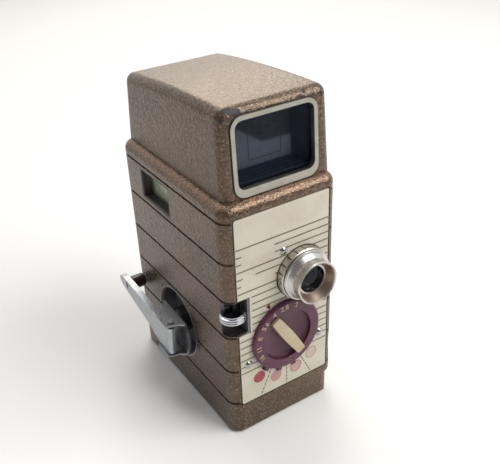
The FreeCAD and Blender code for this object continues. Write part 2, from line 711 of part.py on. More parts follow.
def groove_cutters():
    """Half-round grooves that run round the body and stop just short of the face plate."""
    cutters = []
    for index in range(GROOVE_COUNT):
        z = GROOVE_TOP_Z - index * GROOVE_PITCH
        ring = rounded_prism(
            (-SIDE_X - 1, SIDE_X + 1), (FRONT_Y - 1, BACK_Y + 1),
            (z - GROOVE_RADIUS, z + GROOVE_RADIUS), CORNER_RADIUS + 1)
        core = rounded_prism(
            (-SIDE_X + GROOVE_RADIUS, SIDE_X - GROOVE_RADIUS),
            (FRONT_Y + GROOVE_RADIUS, BACK_Y - GROOVE_RADIUS),
            (z - 1, z + 1), CORNER_RADIUS - GROOVE_RADIUS)
        bare = block((-GROOVE_STOP_X, GROOVE_STOP_X), (FRONT_Y - 2, FRONT_Y + 2), (z - 1, z + 1))
        cutters.append(ring.cut(core).cut(bare))
    return cutters


def door_zone():
    """Space that the film door fills, up to its clearance."""
    return block((PARTING_X, SIDE_X + 1), (FRONT_Y - 1, BACK_Y + 1), (WALL, DOOR_TOP_Z))


def skirt_cutter():
    """Step that makes the base narrower under the door's bulge, with round corners of its own."""
    corner_x = SKIRT_X - SKIRT_CORNER_RADIUS
    step = block((corner_x, SIDE_X + 1), (FRONT_Y - 1, BACK_Y + 1), (-1, SKIRT_TOP_Z))
    base = rounded_prism((-SIDE_X, SKIRT_X), (FRONT_Y, BACK_Y), (-2, SKIRT_TOP_Z + 1), SKIRT_CORNER_RADIUS)
    return step.cut(base)


def knuckles(low_index, side):
    """Every second hinge knuckle, with the web that ties it to its wall."""
    rings = []
    for index in range(low_index, KNUCKLE_COUNT, 2):
        low = HINGE_LOW_Z + index * KNUCKLE_LENGTH + DOOR_GAP / 2
        top = low + KNUCKLE_LENGTH - DOOR_GAP
        ring = rod("z", (PARTING_X, HINGE_Y), low, top, KNUCKLE_RADIUS)
        reach = sorted((PARTING_X + side * DOOR_GAP, PARTING_X + side * KNUCKLE_RADIUS))
        web = block(reach, (BACK_Y - WALL / 2, HINGE_Y), (low, top))
        bore = rod("z", (PARTING_X, HINGE_Y), low - 1, top + 1, HINGE_PIN_RADIUS + RUNNING)
        rings.append(ring.fuse(web).cut(bore))
    return rings


def window_cutter():
    """Recess of the counter window: a narrow bevel at its mouth, then straight walls to the pane."""
    wires = []
    for x, inset in ((-SIDE_X - WINDOW_BEVEL, -WINDOW_BEVEL), (-SIDE_X + WINDOW_BEVEL, WINDOW_BEVEL)):
        corners = [
            (WINDOW_FRONT_Y + inset, WINDOW_LOW_Z + inset), (WINDOW_BACK_Y - inset, WINDOW_LOW_Z + inset),
            (WINDOW_BACK_Y - inset, WINDOW_TOP_Z - inset), (WINDOW_FRONT_Y + inset, WINDOW_TOP_Z - inset),
        ]
        points = [vec(x, y, z) for y, z in corners]
        wires.append(Part.makePolygon(points + points[:1]))
    bevel = solid_of(Part.makeLoft(wires, True, True))
    y = (WINDOW_FRONT_Y + WINDOW_BEVEL, WINDOW_BACK_Y - WINDOW_BEVEL)
    z = (WINDOW_LOW_Z + WINDOW_BEVEL, WINDOW_TOP_Z - WINDOW_BEVEL)
    return bevel.fuse(block((-SIDE_X, PANE_X + 2 * WINDOW_PANE), y, z))


def window_frame():
    """Thicker wall behind the counter window, with the seat of its pane."""
    frame = block(
        (-SIDE_X + WALL / 2, PANE_X + WINDOW_PANE),
        (WINDOW_FRONT_Y - WINDOW_FRAME_WALL, WINDOW_BACK_Y + WINDOW_FRAME_WALL),
        (WINDOW_LOW_Z - WINDOW_FRAME_WALL, WINDOW_TOP_Z + WINDOW_FRAME_WALL))
    return frame.cut(pane_block(SEAT))


def pane_block(grow):
    """Rectangle of the counter pane, which laps its opening all round, grown by a clearance."""
    lap = WINDOW_PANE_LAP - WINDOW_BEVEL + grow
    return block(
        (PANE_X, PANE_X + WINDOW_PANE + grow),
        (WINDOW_FRONT_Y - lap, WINDOW_BACK_Y + lap), (WINDOW_LOW_Z - lap, WINDOW_TOP_Z + lap))


def notch_box(grow):
    """Corner notch of the release button, with a wall of the given thickness."""
    return block(
        (-SIDE_X - 1, -SIDE_X + NOTCH_WIDTH + grow), (FRONT_Y - 1, FRONT_Y + NOTCH_DEPTH + grow),
        (NOTCH_LOW_Z - grow, NOTCH_TOP_Z + grow))


def slide_guide(low, outer):
    """Lug in which the release slide runs."""
    lug = block((-INNER_SIDE_X, SLIDE_X[1] + 1.4), (NOTCH_BACK_Y - 0.1, SLIDE_Y[1] + 1.4), (low, low + 2.4))
    play = 0.1
    gap = block(
        (SLIDE_X[0] - play, SLIDE_X[1] + play), (SLIDE_Y[0] - play, SLIDE_Y[1] + play), (low - 1, low + 4))
    return lug.cut(gap).common(outer)


def main_casing():
    """Cast body: front, crank side, back, top and base in one piece, open towards the door."""
    outer = body_block()
    shape = outer.cut(rounded_prism(
        (-INNER_SIDE_X, PARTING_X + 0.5), (INNER_FRONT_Y, INNER_BACK_Y),
        (WALL, BODY_HEIGHT - WALL), CORNER_RADIUS - WALL))
    shape = shape.cut(block(
        (PARTING_X - 6, PARTING_X + 1), (INNER_FRONT_Y, INNER_BACK_Y), (WALL, DOOR_TOP_Z)))
    shape = shape.cut(door_zone()).cut(skirt_cutter())
    inner_parts = [
        rod("x", BARREL_AT, -SIDE_X + WALL / 2, WELL_INNER_X, WELL_RADIUS + WALL),
        window_frame(),
        notch_box(NOTCH_LINER).common(outer),
        rod("y", DIAL_AT, INNER_FRONT_Y - WALL / 2, DIAL_GEAR_Y - SIDE_PLAY, DIAL_BOWL_RADIUS + 2.0),
        rod("y", SHUTTER_AT, INNER_FRONT_Y - WALL / 2, DIAL_GEAR_Y - SIDE_PLAY, 2 * STUD_RADIUS),
        rod("y", SHUTTER_AT, INNER_FRONT_Y, DIAL_GEAR_Y + GEAR_THICKNESS + SIDE_PLAY, STUD_RADIUS),
        rod("x", LEVER_AT, -SIDE_X + WALL / 2, -INNER_SIDE_X + 2.4, 2.2),
        rod("z", (0, 0), WALL / 2, SOCKET_BUSH_HEIGHT - 0.8, SOCKET_BUSH_RADIUS + 1.4),
        block(
            (-SIDE_X + WALL, SLIDE_X[1] + 1.4), (FRONT_Y + WALL, SLIDE_Y[1] + 1.4),
            (SPRING_SHELF_Z, SPRING_SHELF_Z + 1.6)).common(outer),
        block(
            (LATCH_TONGUE_X + LATCH_TONGUE_THICKNESS + SIDE_PLAY, PARTING_X),
            (INNER_FRONT_Y - WALL / 2, INNER_FRONT_Y + 2.4),
            (LATCH_Z - 1.5 * LATCH_TONGUE_TIP, LATCH_Z + 1.5 * LATCH_TONGUE_TIP)),
        slide_guide(NOTCH_LOW_Z - 1.0, outer),
        slide_guide(NOTCH_TOP_Z - 1.4, outer),
    ]
    inner_parts += [rod("x", at, -SIDE_X + WALL / 2, PLATE_X, POST_RADIUS) for at in POST_PLACES]
    shape = shape.multiFuse(inner_parts + knuckles(0, -1))
    tools = [
        rod("z", (0, 0), -1, SOCKET_BUSH_HEIGHT + 1, SOCKET_BUSH_RADIUS + SEAT),
        cone("x", BARREL_AT, -SIDE_X - 0.01, WELL_FLOOR_X, WELL_RADIUS, WELL_FLOOR_RADIUS),
        rod("x", BARREL_AT, WELL_FLOOR_X - 1, WELL_INNER_X + 1, ARBOR_RADIUS + RUNNING),
        window_cutter(),
        pane_block(SEAT),
        notch_box(0.0),
        block(
            (BUTTON_X - SHANK_WIDTH / 2 - RUNNING, BUTTON_X + SHANK_WIDTH / 2 + RUNNING),
            (FRONT_Y + NOTCH_DEPTH - 1, NOTCH_BACK_Y + 1),
            (BUTTON_Z - SHANK_HEIGHT / 2 - BUTTON_TRAVEL - CLEAR,
             BUTTON_Z + SHANK_HEIGHT / 2 + BUTTON_TRAVEL + CLEAR)),
        plate_block(PLATE_OUTLINE_GAP, 0.5),
        rod("y", DIAL_AT, FRONT_Y - 1, DIAL_BEARING_Y, DIAL_BOWL_RADIUS + DIAL_SKIN + CLEAR),
        rod("y", DIAL_AT, DIAL_BEARING_Y - 1, DIAL_GEAR_Y + 1, DIAL_SHAFT_RADIUS + RUNNING),
        rod("y", LENS_AT, FRONT_Y - 1, INNER_FRONT_Y + 2, LENS_TUBE_RADIUS + SEAT),
        rod("x", LEVER_AT, -INNER_SIDE_X, 0, LEVER_SHAFT_RADIUS + RUNNING),
        rod(
            "x", PAWL_AT, WELL_INNER_X - PAWL_STUD_DEPTH - RUNNING, WELL_INNER_X + 1,
            PAWL_STUD_RADIUS + RUNNING),
    ]
    tools += [rod("y", at, FRONT_Y, INNER_FRONT_Y - 0.2, PLATE_SCREW_SHANK_RADIUS + SEAT)
              for at in PLATE_SCREW_PLACES]
    tools += [rod("x", at, PLATE_X - 6, PLATE_X + 1, SCREW_RADIUS + SEAT) for at in POST_PLACES]
    shape = shape.cut(Part.makeCompound(tools))
    for cutter in groove_cutters():
        shape = shape.cut(cutter)
    return shape


def film_door():
    """Pan-shaped door over the film chamber, with its stepped-in skirt and hinge knuckles."""
    zone = block(
        (PARTING_X + DOOR_GAP, SIDE_X + 1), (FRONT_Y - 1, BACK_Y + 1), (DOOR_LOW_Z, DOOR_TOP_Z - DOOR_GAP))
    outer = body_block().common(zone)
    bulge_low = block(
        (SKIRT_X, SIDE_X + 1), (FRONT_Y - 1, BACK_Y + 1), (DOOR_LOW_Z - 1, SKIRT_TOP_Z + SKIRT_INSET))
    round_low = rod("y", (SKIRT_X, SKIRT_TOP_Z + SKIRT_INSET), FRONT_Y - 1, BACK_Y + 1, SKIRT_INSET)
    outer = outer.cut(bulge_low.cut(round_low)).cut(skirt_cutter())
    hollow = block(
        (PARTING_X - 1, INNER_SIDE_X), (INNER_FRONT_Y, INNER_BACK_Y),
        (SKIRT_TOP_Z + SKIRT_INSET, DOOR_TOP_Z - DOOR_GAP - WALL))
    shape = outer.cut(hollow)
    shape = shape.multiFuse(knuckles(1, 1))
    shape = shape.cut(rod("x", (LATCH_Y, LATCH_Z), PARTING_X, SIDE_X + 1, LATCH_SHANK_RADIUS + RUNNING))
    for cutter in groove_cutters():
        shape = shape.cut(cutter)
    return shape


def door_hinge_pin():
    """Long pin through all the hinge knuckles, with a small head at each end."""
    low = HINGE_LOW_Z
    top = HINGE_LOW_Z + KNUCKLE_COUNT * KNUCKLE_LENGTH
    at = (PARTING_X, HINGE_Y)
    return fused(
        rod("z", at, low - 1, top + 1, HINGE_PIN_RADIUS),
        rod("z", at, low - 1, low - 0.1, KNUCKLE_RADIUS - 0.3),
        rod("z", at, top + 0.1, top + 1, KNUCKLE_RADIUS - 0.3))


def door_latch_knob():
    """Round knob on the door, with a raised finger bar and a shank through the wall."""
    at = (LATCH_Y, LATCH_Z)
    low = SIDE_X + SIDE_PLAY
    top = low + LATCH_KNOB_HEIGHT
    knob = turned("x", at, [
        (low, 0), (low, LATCH_KNOB_RADIUS), (top - 0.8, LATCH_KNOB_RADIUS),
        (top, LATCH_KNOB_RADIUS - 0.8), (top, 0)])
    grip = block(
        (top - 0.2, top + LATCH_BAR_HEIGHT), (LATCH_Y - 1.3, LATCH_Y + 1.3),
        (LATCH_Z - LATCH_KNOB_RADIUS + 1.2, LATCH_Z + LATCH_KNOB_RADIUS - 1.2))
    shank = rod("x", at, LATCH_TONGUE_X + LATCH_TONGUE_THICKNESS, low + 0.1, LATCH_SHANK_RADIUS)
    return fused(knob, grip, shank)


def door_latch_tongue():
    """Locking tongue on the inner end of the knob's shank."""
    end = (LATCH_Y, LATCH_Z - LATCH_TONGUE_LENGTH)
    x = (LATCH_TONGUE_X, LATCH_TONGUE_X + LATCH_TONGUE_THICKNESS)
    return bar("x", (LATCH_Y, LATCH_Z), end, x[0], x[1], LATCH_TONGUE_ROOT, LATCH_TONGUE_TIP)


def tripod_socket():
    """Flanged bush with the blind thread for a tripod screw."""
    bush = rod("z", (0, 0), 0, SOCKET_BUSH_HEIGHT, SOCKET_BUSH_RADIUS)
    return bush.cut(rod("z", (0, 0), -1, SOCKET_DEPTH, SOCKET_RADIUS))


# Front

def plate_block(grow, ahead):
    """Block of the face plate, grown all round."""
    shape = block(
        (-PLATE_WIDTH / 2 - grow, PLATE_WIDTH / 2 + grow), (FRONT_Y - ahead, FRONT_Y + PLATE_THICKNESS),
        (PLATE_LOW_Z - grow, PLATE_TOP_Z + grow))
    along = [e for e in shape.Edges if abs(e.Vertexes[0].Point.y - e.Vertexes[-1].Point.y) > 1e-6]
    return shape.makeFillet(PLATE_CORNER_RADIUS, along)


def face_plate():
    """Thin printed plate let into the front, cut out for the lens, the dial and the notch."""
    shape = plate_block(0.0, 0.0)
    tools = [
        rod("y", LENS_AT, FRONT_Y - 1, FRONT_Y + 1, LENS_BASE_RADIUS + 0.35),
        rod("y", DIAL_AT, FRONT_Y - 1, FRONT_Y + 1, DIAL_BOWL_RADIUS + DIAL_SKIN + CLEAR),
        block(
            (-SIDE_X - 1, -SIDE_X + NOTCH_WIDTH + NOTCH_RIM), (FRONT_Y - 1, FRONT_Y + 1),
            (NOTCH_LOW_Z - NOTCH_RIM, NOTCH_TOP_Z + NOTCH_RIM)),
    ]
    tools += [rod("y", at, FRONT_Y - 1, FRONT_Y + 1, PLATE_SCREW_SHANK_RADIUS + SEAT)
              for at in PLATE_SCREW_PLACES]
    return shape.cut(Part.makeCompound(tools))


def face_plate_screws():
    """Domed screws that hold the face plate."""
    screws = []
    ball = (PLATE_SCREW_HEAD_RADIUS ** 2 + PLATE_SCREW_HEAD_HEIGHT ** 2) / (2 * PLATE_SCREW_HEAD_HEIGHT)
    for at in PLATE_SCREW_PLACES:
        head = Part.makeSphere(ball, place("y", FRONT_Y - PLATE_SCREW_HEAD_HEIGHT + ball, at))
        head = head.common(rod("y", at, FRONT_Y - PLATE_SCREW_HEAD_HEIGHT - 1, FRONT_Y, 2 * ball))
        shank = rod("y", at, FRONT_Y - 0.1, INNER_FRONT_Y - 0.2, PLATE_SCREW_SHANK_RADIUS)
        screws.append(fused(head, shank))
    return Part.makeCompound(screws)


def release_button():
    """Ribbed thumb disc, cut flat where it runs along the notch, on a flat shank."""
    half = BUTTON_HEIGHT / 2
    at = (BUTTON_X, BUTTON_Y)
    groove = BUTTON_HEIGHT / (2 * BUTTON_RIBS + 1)
    outline = [(BUTTON_Z - half, 0), (BUTTON_Z - half, BUTTON_RADIUS - 0.5)]
    for index in range(BUTTON_RIBS):
        low = BUTTON_Z - half + (2 * index + 0.5) * groove
        outline += [
            (low, BUTTON_RADIUS), (low + groove, BUTTON_RADIUS),
            (low + 1.3 * groove, BUTTON_RADIUS - BUTTON_RIB_DEPTH),
            (low + 1.7 * groove, BUTTON_RADIUS - BUTTON_RIB_DEPTH)]
    outline += [(BUTTON_Z + half, BUTTON_RADIUS - 0.5), (BUTTON_Z + half, 0)]
    disc = turned("z", at, outline)
    back = FRONT_Y + NOTCH_DEPTH - CLEAR
    side = -SIDE_X + NOTCH_WIDTH - CLEAR
    disc = disc.common(block(
        (BUTTON_X - 10, side), (BUTTON_Y - 10, back), (BUTTON_Z - BUTTON_HEIGHT, BUTTON_Z + BUTTON_HEIGHT)))
    shank = block(
        (BUTTON_X - SHANK_WIDTH / 2, BUTTON_X + SHANK_WIDTH / 2), (back - 1, SLIDE_Y[0]),
        (BUTTON_Z - SHANK_HEIGHT / 2, BUTTON_Z + SHANK_HEIGHT / 2))
    return fused(disc, shank)


def release_slide():
    """Flat bar behind the notch that carries the button and is slotted for the release lever."""
    shape = block(SLIDE_X, SLIDE_Y, (SLIDE_LOW_Z, SLIDE_TOP_Z))
    slot_half = LEVER_PIN_RADIUS + 0.25
    slot = block(
        (SLIDE_X[1] - 1.9, SLIDE_X[1] + 1), (SLIDE_Y[0] - 1, SLIDE_Y[1] + 1),
        (BUTTON_Z - slot_half, BUTTON_Z + slot_half))
    tail = rod("z", SPRING_AT, SLIDE_LOW_Z - 5, SLIDE_LOW_Z + 0.5, 0.55)
    return fused(shape.cut(slot), tail)


def release_spring():
    """Wire coil between the slide and its shelf."""
    low = SPRING_SHELF_Z + 1.6 + SPRING_WIRE_RADIUS
    top = SLIDE_LOW_Z - SPRING_WIRE_RADIUS - 0.05
    return coil(low, top, SPRING_AT, SPRING_COIL_RADIUS, SPRING_TURNS, SPRING_WIRE_RADIUS)


def release_lever():
    """Cross shaft with a short arm in the slide's slot and a long arm that stops the drive shaft."""
    shaft = rod("x", LEVER_AT, -INNER_SIDE_X + 0.3, PLATE_BACK_X - CLEAR, LEVER_SHAFT_RADIUS)
    pin_at = (LEVER_AT[0] - LEVER_PIVOT_DISTANCE, LEVER_AT[1])
    arm_x = SLIDE_X[1] + 0.3
    arm = bar("x", LEVER_AT, pin_at, arm_x, arm_x + LEVER_THICKNESS, 1.9, LEVER_PIN_RADIUS)
    pin = rod("x", pin_at, BUTTON_X + SHANK_WIDTH / 2 + 0.1, arm_x + 0.1, LEVER_PIN_RADIUS)
    line = toward(LEVER_AT, DRIVE_AT)
    reach = math.dist(LEVER_AT, DRIVE_AT) - STOP_CAM_RADIUS - 1.6
    tip = (LEVER_AT[0] + reach * math.cos(line), LEVER_AT[1] + reach * math.sin(line))
    stop = bar("x", LEVER_AT, tip, STOP_ARM_X, STOP_ARM_X + LEVER_THICKNESS, 1.9, 0.9)
    return fused(shaft, arm, pin, stop)


def lens_profile():
    """Front end of the fixed lens tube and the planes that its neighbours share."""
    base_end = FRONT_Y - LENS_BASE_LENGTH
    glass_y = FRONT_Y - LENS_GLASS_SET
    return base_end, glass_y


def lens_mount():
    """Fluted ring against the front, in one piece with the tube that carries the glasses."""
    base_end = lens_profile()[0]
    ring = tube(
        "y", LENS_AT, base_end, FRONT_Y + PLATE_THICKNESS, LENS_BASE_RADIUS, LENS_TUBE_RADIUS - 0.2)
    ring = ring.makeChamfer(0.4, [e for e in ring.Edges if rim_edge(e, base_end, LENS_BASE_RADIUS)])
    flutes = []
    for index in range(LENS_BASE_FLUTES):
        angle = 2 * math.pi * index / LENS_BASE_FLUTES
        at = (
            LENS_X + (LENS_BASE_RADIUS + 0.05) * math.cos(angle),
            LENS_Z + (LENS_BASE_RADIUS + 0.05) * math.sin(angle))
        flutes.append(rod("y", at, base_end - 1, FRONT_Y - 0.5, 0.25))
    return fused(ring.cut(Part.makeCompound(flutes)), lens_tube())


def rim_edge(edge, y, radius):
    """Whether an edge is the circle of a radius round the lens axis at a depth."""
    box = edge.BoundBox
    return abs(box.YMin - y) < 1e-6 and abs(box.YMax - y) < 1e-6 and abs(box.XLength - 2 * radius) < 1e-4


def lens_tube():
    """Tube through the front wall, bored for the two glasses."""
    glass_y = lens_profile()[1]
    back = DIAL_GEAR_Y - CLEAR
    seat = glass_y - 0.9 + LENS_FRONT_THICKNESS
    return turned("y", LENS_AT, [
        (back, LENS_REAR_RADIUS + SEAT), (back, LENS_TUBE_RADIUS), (glass_y + 0.9, LENS_TUBE_RADIUS),
        (glass_y + 0.9, LENS_GLASS_RADIUS + SEAT), (seat, LENS_GLASS_RADIUS + SEAT),
        (seat, LENS_REAR_RADIUS - 0.5), (back - LENS_REAR_THICKNESS - CLEAR, LENS_REAR_RADIUS - 0.5),
        (back - LENS_REAR_THICKNESS - CLEAR, LENS_REAR_RADIUS + SEAT)])


def focus_sleeve():
    """Turning front sleeve: a ridge, a tapered waist, and a flared mouth with a thin lip."""
    base_end, glass_y = lens_profile()
    back = base_end - SIDE_PLAY
    tip = FRONT_Y - LENS_LENGTH
    bore = LENS_TUBE_RADIUS + RUNNING
    return turned("y", LENS_AT, [
        (back, bore), (back, LENS_SHOULDER_RADIUS), (back - 0.5, LENS_SHOULDER_RADIUS + 0.25),
        (back - 1.0, LENS_SHOULDER_RADIUS), (back - 1.4, LENS_SHOULDER_RADIUS - 0.7),
        (back - 3.2, LENS_WAIST_RADIUS), (back - 4.8, LENS_WAIST_RADIUS), (tip + 0.7, LENS_RIM_RADIUS - 0.1),
        (tip, LENS_RIM_RADIUS - 0.1 - LENS_LIP / 2), (tip, LENS_RIM_RADIUS - LENS_LIP),
        (tip + 0.5, LENS_RIM_RADIUS - 1.2), (glass_y - 0.7, LENS_GLASS_RADIUS + 0.9),
        (glass_y - 0.7, LENS_GLASS_RADIUS + 0.15), (glass_y + 0.6, LENS_GLASS_RADIUS + 0.15),
        (glass_y + 0.6, bore)])


def lens_front_glass():
    """Front glass, domed outwards."""
    glass_y = lens_profile()[1]
    body = rod("y", LENS_AT, glass_y - 0.9, glass_y - 0.9 + LENS_FRONT_THICKNESS, LENS_GLASS_RADIUS)
    ball_radius = 16.0
    ball = Part.makeSphere(ball_radius, place("y", glass_y - 0.5 + ball_radius, LENS_AT))
    return body.common(ball)


def lens_rear_glass():
    """Rear glass in the back of the lens tube."""
    back = DIAL_GEAR_Y - CLEAR
    body = rod("y", LENS_AT, back - LENS_REAR_THICKNESS - CLEAR, back - CLEAR, LENS_REAR_RADIUS)
    ball_radius = 11.0
    ball = Part.makeSphere(ball_radius, place("y", back - CLEAR - ball_radius, LENS_AT))
    return body.common(ball)


def bowl_space(inset):
    """Space inside the dial's bowl: a round wall, a bend and a gently dished floor."""
    mouth = FRONT_Y - DIAL_PROUD - DIAL_BOWL_BEND
    floor = FRONT_Y - DIAL_PROUD + DIAL_BOWL_DEPTH - inset
    ball = Part.makeSphere(DIAL_BOWL_BALL, place("y", floor - DIAL_BOWL_BALL, DIAL_AT))
    shape = rod("y", DIAL_AT, mouth, floor, DIAL_BOWL_RADIUS - inset).common(ball)
    bend = [e for e in shape.Edges if len(e.Vertexes) == 1 and e.BoundBox.YMin > mouth + DIAL_BOWL_BEND / 2]
    return shape.makeFillet(DIAL_BOWL_BEND, bend)


def exposure_dial():
    """Dished dial: a flat ring for the numbers round a bowl, with three small finger teeth."""
    face = FRONT_Y - DIAL_PROUD
    low = FRONT_Y - SIDE_PLAY
    floor = face + DIAL_BOWL_DEPTH
    shape = turned("y", DIAL_AT, [
        (floor + DIAL_SKIN, 0), (face, 0), (face, DIAL_RADIUS - DIAL_EDGE[1]),
        (face + DIAL_EDGE[0], DIAL_RADIUS), (low, DIAL_RADIUS), (low, DIAL_BOWL_RADIUS + DIAL_SKIN),
        (face + DIAL_BOWL_DEPTH / 2, DIAL_BOWL_RADIUS + DIAL_SKIN),
        (floor + DIAL_SKIN, DIAL_BOWL_RADIUS - DIAL_BOWL_DEPTH / 2)])
    teeth = []
    for angle in DIAL_TOOTH_ANGLES:
        tooth = block(
            (DIAL_BOWL_RADIUS + 2.0, DIAL_TOOTH_RADIUS), (face + 0.5, low),
            (-DIAL_TOOTH_WIDTH / 2, DIAL_TOOTH_WIDTH / 2))
        tooth.rotate(vec(0, 0, 0), vec(0, -1, 0), angle)
        tooth.translate(vec(DIAL_AT[0], 0, DIAL_AT[1]))
        teeth.append(tooth)
    return shape.multiFuse(teeth).cut(bowl_space(0.0)).cut(
        rod("y", DIAL_AT, floor - 1, floor + DIAL_SKIN + 1, DIAL_SHAFT_RADIUS + SEAT))


def bar_form(start, end):
    """Finger bar's plan, wider in the middle, between two planes."""
    bulge = (BAR_WIDTH - BAR_END_WIDTH) / 2
    radius = ((BAR_LENGTH / 2) ** 2 + bulge ** 2) / (2 * bulge)
    shape = block((-BAR_LENGTH / 2, BAR_LENGTH / 2), (start, end), (-BAR_WIDTH / 2, BAR_WIDTH / 2))
    for side in (-1, 1):
        shape = shape.common(rod("y", (0, side * (BAR_WIDTH / 2 - radius)), start, end, radius))
    along = [e for e in shape.Edges
             if abs(e.Vertexes[0].Point.y - e.Vertexes[-1].Point.y) > BAR_CORNER_RADIUS]
    shape = shape.makeFillet(BAR_CORNER_RADIUS, along)
    shape.rotate(vec(0, 0, 0), vec(0, -1, 0), BAR_ANGLE)
    shape.translate(vec(DIAL_AT[0], 0, DIAL_AT[1]))
    return shape


def exposure_bar():
    """Pale finger bar across the dial, whose lower part fills the bowl under it."""
    tip = FRONT_Y - BAR_PROUD
    face = FRONT_Y - DIAL_PROUD
    floor = face + DIAL_BOWL_DEPTH
    lower = bar_form(tip + SEAT, floor).common(bowl_space(SEAT))
    shape = bar_form(tip, face - SEAT).fuse(lower)
    return shape.cut(rod("y", DIAL_AT, floor - 1.6, floor + 1, DIAL_SHAFT_RADIUS + SEAT)).removeSplitter()


def exposure_shaft():
    """Shaft of the dial with the gear that turns the aperture disc."""
    face = FRONT_Y - DIAL_PROUD
    shaft = rod(
        "y", DIAL_AT, face + DIAL_BOWL_DEPTH - 1.5, DIAL_GEAR_Y + GEAR_THICKNESS + 0.6, DIAL_SHAFT_RADIUS)
    wheel = wheel_rim(
        "y", DIAL_AT, DIAL_GEAR_TEETH, DIAL_GEAR_Y, DIAL_GEAR_Y + GEAR_THICKNESS, DIAL_PHASE, 5)
    return fused(shaft, wheel)


def aperture_disc():
    """Toothed disc with a row of graded light holes, one of them on the lens axis."""
    end = DIAL_GEAR_Y + GEAR_THICKNESS
    shape = gear("y", SHUTTER_AT, APERTURE_GEAR_TEETH, DIAL_GEAR_Y, end, APERTURE_PHASE)
    tools = [rod("y", SHUTTER_AT, DIAL_GEAR_Y - 1, end + 1, STUD_RADIUS + RUNNING)]
    line = toward(SHUTTER_AT, LENS_AT)
    for index, number in enumerate(APERTURE_NUMBERS):
        angle = line + math.radians(APERTURE_STEP * (APERTURE_AT_REST - index))
        at = (
            SHUTTER_AT[0] + APERTURE_CIRCLE_RADIUS * math.cos(angle),
            SHUTTER_AT[1] + APERTURE_CIRCLE_RADIUS * math.sin(angle))
        radius = APERTURE_FULL * APERTURE_NUMBERS[0] / number / 2
        tools.append(rod("y", at, DIAL_GEAR_Y - 1, end + 1, radius))
    return shape.cut(Part.makeCompound(tools))


# Shutter, claw and gate

def shutter_disc():
    """Sector shutter that covers the gate at rest."""
    end = SHUTTER_DISC_Y + SHUTTER_THICKNESS
    disc = rod("y", SHUTTER_AT, SHUTTER_DISC_Y, end, SHUTTER_RADIUS)
    middle = toward(SHUTTER_AT, LENS_AT) + math.pi
    half = math.radians(SHUTTER_OPEN_ANGLE / 2)
    apex = CRANK_SWEEP + 1.1
    points = [(SHUTTER_AT[0] + apex * math.cos(middle), SHUTTER_AT[1] + apex * math.sin(middle))]
    for share in (-1.0, -0.5, 0.0, 0.5, 1.0):
        angle = middle + share * half
        points.append((
            SHUTTER_AT[0] + 2 * SHUTTER_RADIUS * math.cos(angle),
            SHUTTER_AT[1] + 2 * SHUTTER_RADIUS * math.sin(angle)))
    gap = plate_of("y", points, SHUTTER_DISC_Y - 1, end + 1)
    return disc.cut(gap)


def shutter():
    """Shutter disc with the claw's crank pin, on a shaft with a mitre gear at its back end."""
    end = DRIVE_SHAFT_Y - SHAFT_RADIUS - 0.5
    shaft = rod("y", SHUTTER_AT, SHUTTER_DISC_Y - 0.1, end, SHUTTER_SHAFT_RADIUS)
    pin_at = (SHUTTER_AT[0], SHUTTER_AT[1] + CLAW_STROKE / 2)
    pin = rod("y", pin_at, SHUTTER_DISC_Y + 0.1, CLAW_Y + CLAW_THICKNESS, CRANK_PIN_RADIUS)
    wheel = mitre("y", SHUTTER_AT, DRIVE_SHAFT_Y, -1, math.pi + math.pi / MITRE_TEETH)
    hub_y = DRIVE_SHAFT_Y - MITRE_MODULE * MITRE_TEETH / 2
    hub = rod("y", SHUTTER_AT, hub_y - 1.2, hub_y + 0.2, MITRE_HUB_RADIUS)
    return fused(shutter_disc(), shaft, pin, wheel, hub)


def claw():
    """Pull-down frame round the crank pin, slotted for two guide pins, with one tooth on an arm."""
    y = (CLAW_Y, CLAW_Y + CLAW_THICKNESS)
    middle = SHUTTER_AT[0]
    top_slot = CLAW_SLOT_LOW_Z[1]
    frame = block(
        (CLAW_WINDOW_X[0] - CLAW_BAND, CLAW_WINDOW_X[1] + CLAW_BAND), y,
        (CLAW_WINDOW_Z[0] - CLAW_BAND, CLAW_WINDOW_Z[1] + CLAW_BAND))
    tab = block(
        (middle - CLAW_TAB_WIDTH / 2, middle + CLAW_TAB_WIDTH / 2), y,
        (CLAW_SLOT_LOW_Z[0] - CLAW_BAND, top_slot + CLAW_SLOT_LENGTH + CLAW_BAND))
    arm = block(
        (middle + CLAW_TAB_WIDTH / 4, CLAW_TOOTH_X + CLAW_TOOTH_WIDTH / 2), y,
        (CLAW_TOOTH_Z - CLAW_TOOTH_WIDTH, CLAW_TOOTH_Z + CLAW_TOOTH_WIDTH))
    tooth = block(
        (CLAW_TOOTH_X - CLAW_TOOTH_WIDTH / 2, CLAW_TOOTH_X + CLAW_TOOTH_WIDTH / 2),
        (y[1] - 0.1, GATE_BACK_Y - SIDE_PLAY),
        (CLAW_TOOTH_Z - CLAW_TOOTH_WIDTH / 2, CLAW_TOOTH_Z + CLAW_TOOTH_WIDTH / 2))
    half = CLAW_PIN_RADIUS + RUNNING
    tools = [block(CLAW_WINDOW_X, (y[0] - 1, y[1] + 1), CLAW_WINDOW_Z)]
    for low in CLAW_SLOT_LOW_Z:
        tools.append(block(
            (middle - half, middle + half), (y[0] - 1, y[1] + 1),
            (low + half, low + CLAW_SLOT_LENGTH - half)))
        for z in (low + half, low + CLAW_SLOT_LENGTH - half):
            tools.append(rod("y", (middle, z), y[0] - 1, y[1] + 1, half))
    shape = fused(frame, tab, arm, tooth)
    for tool in tools:
        shape = shape.cut(tool)
    return shape.removeSplitter()


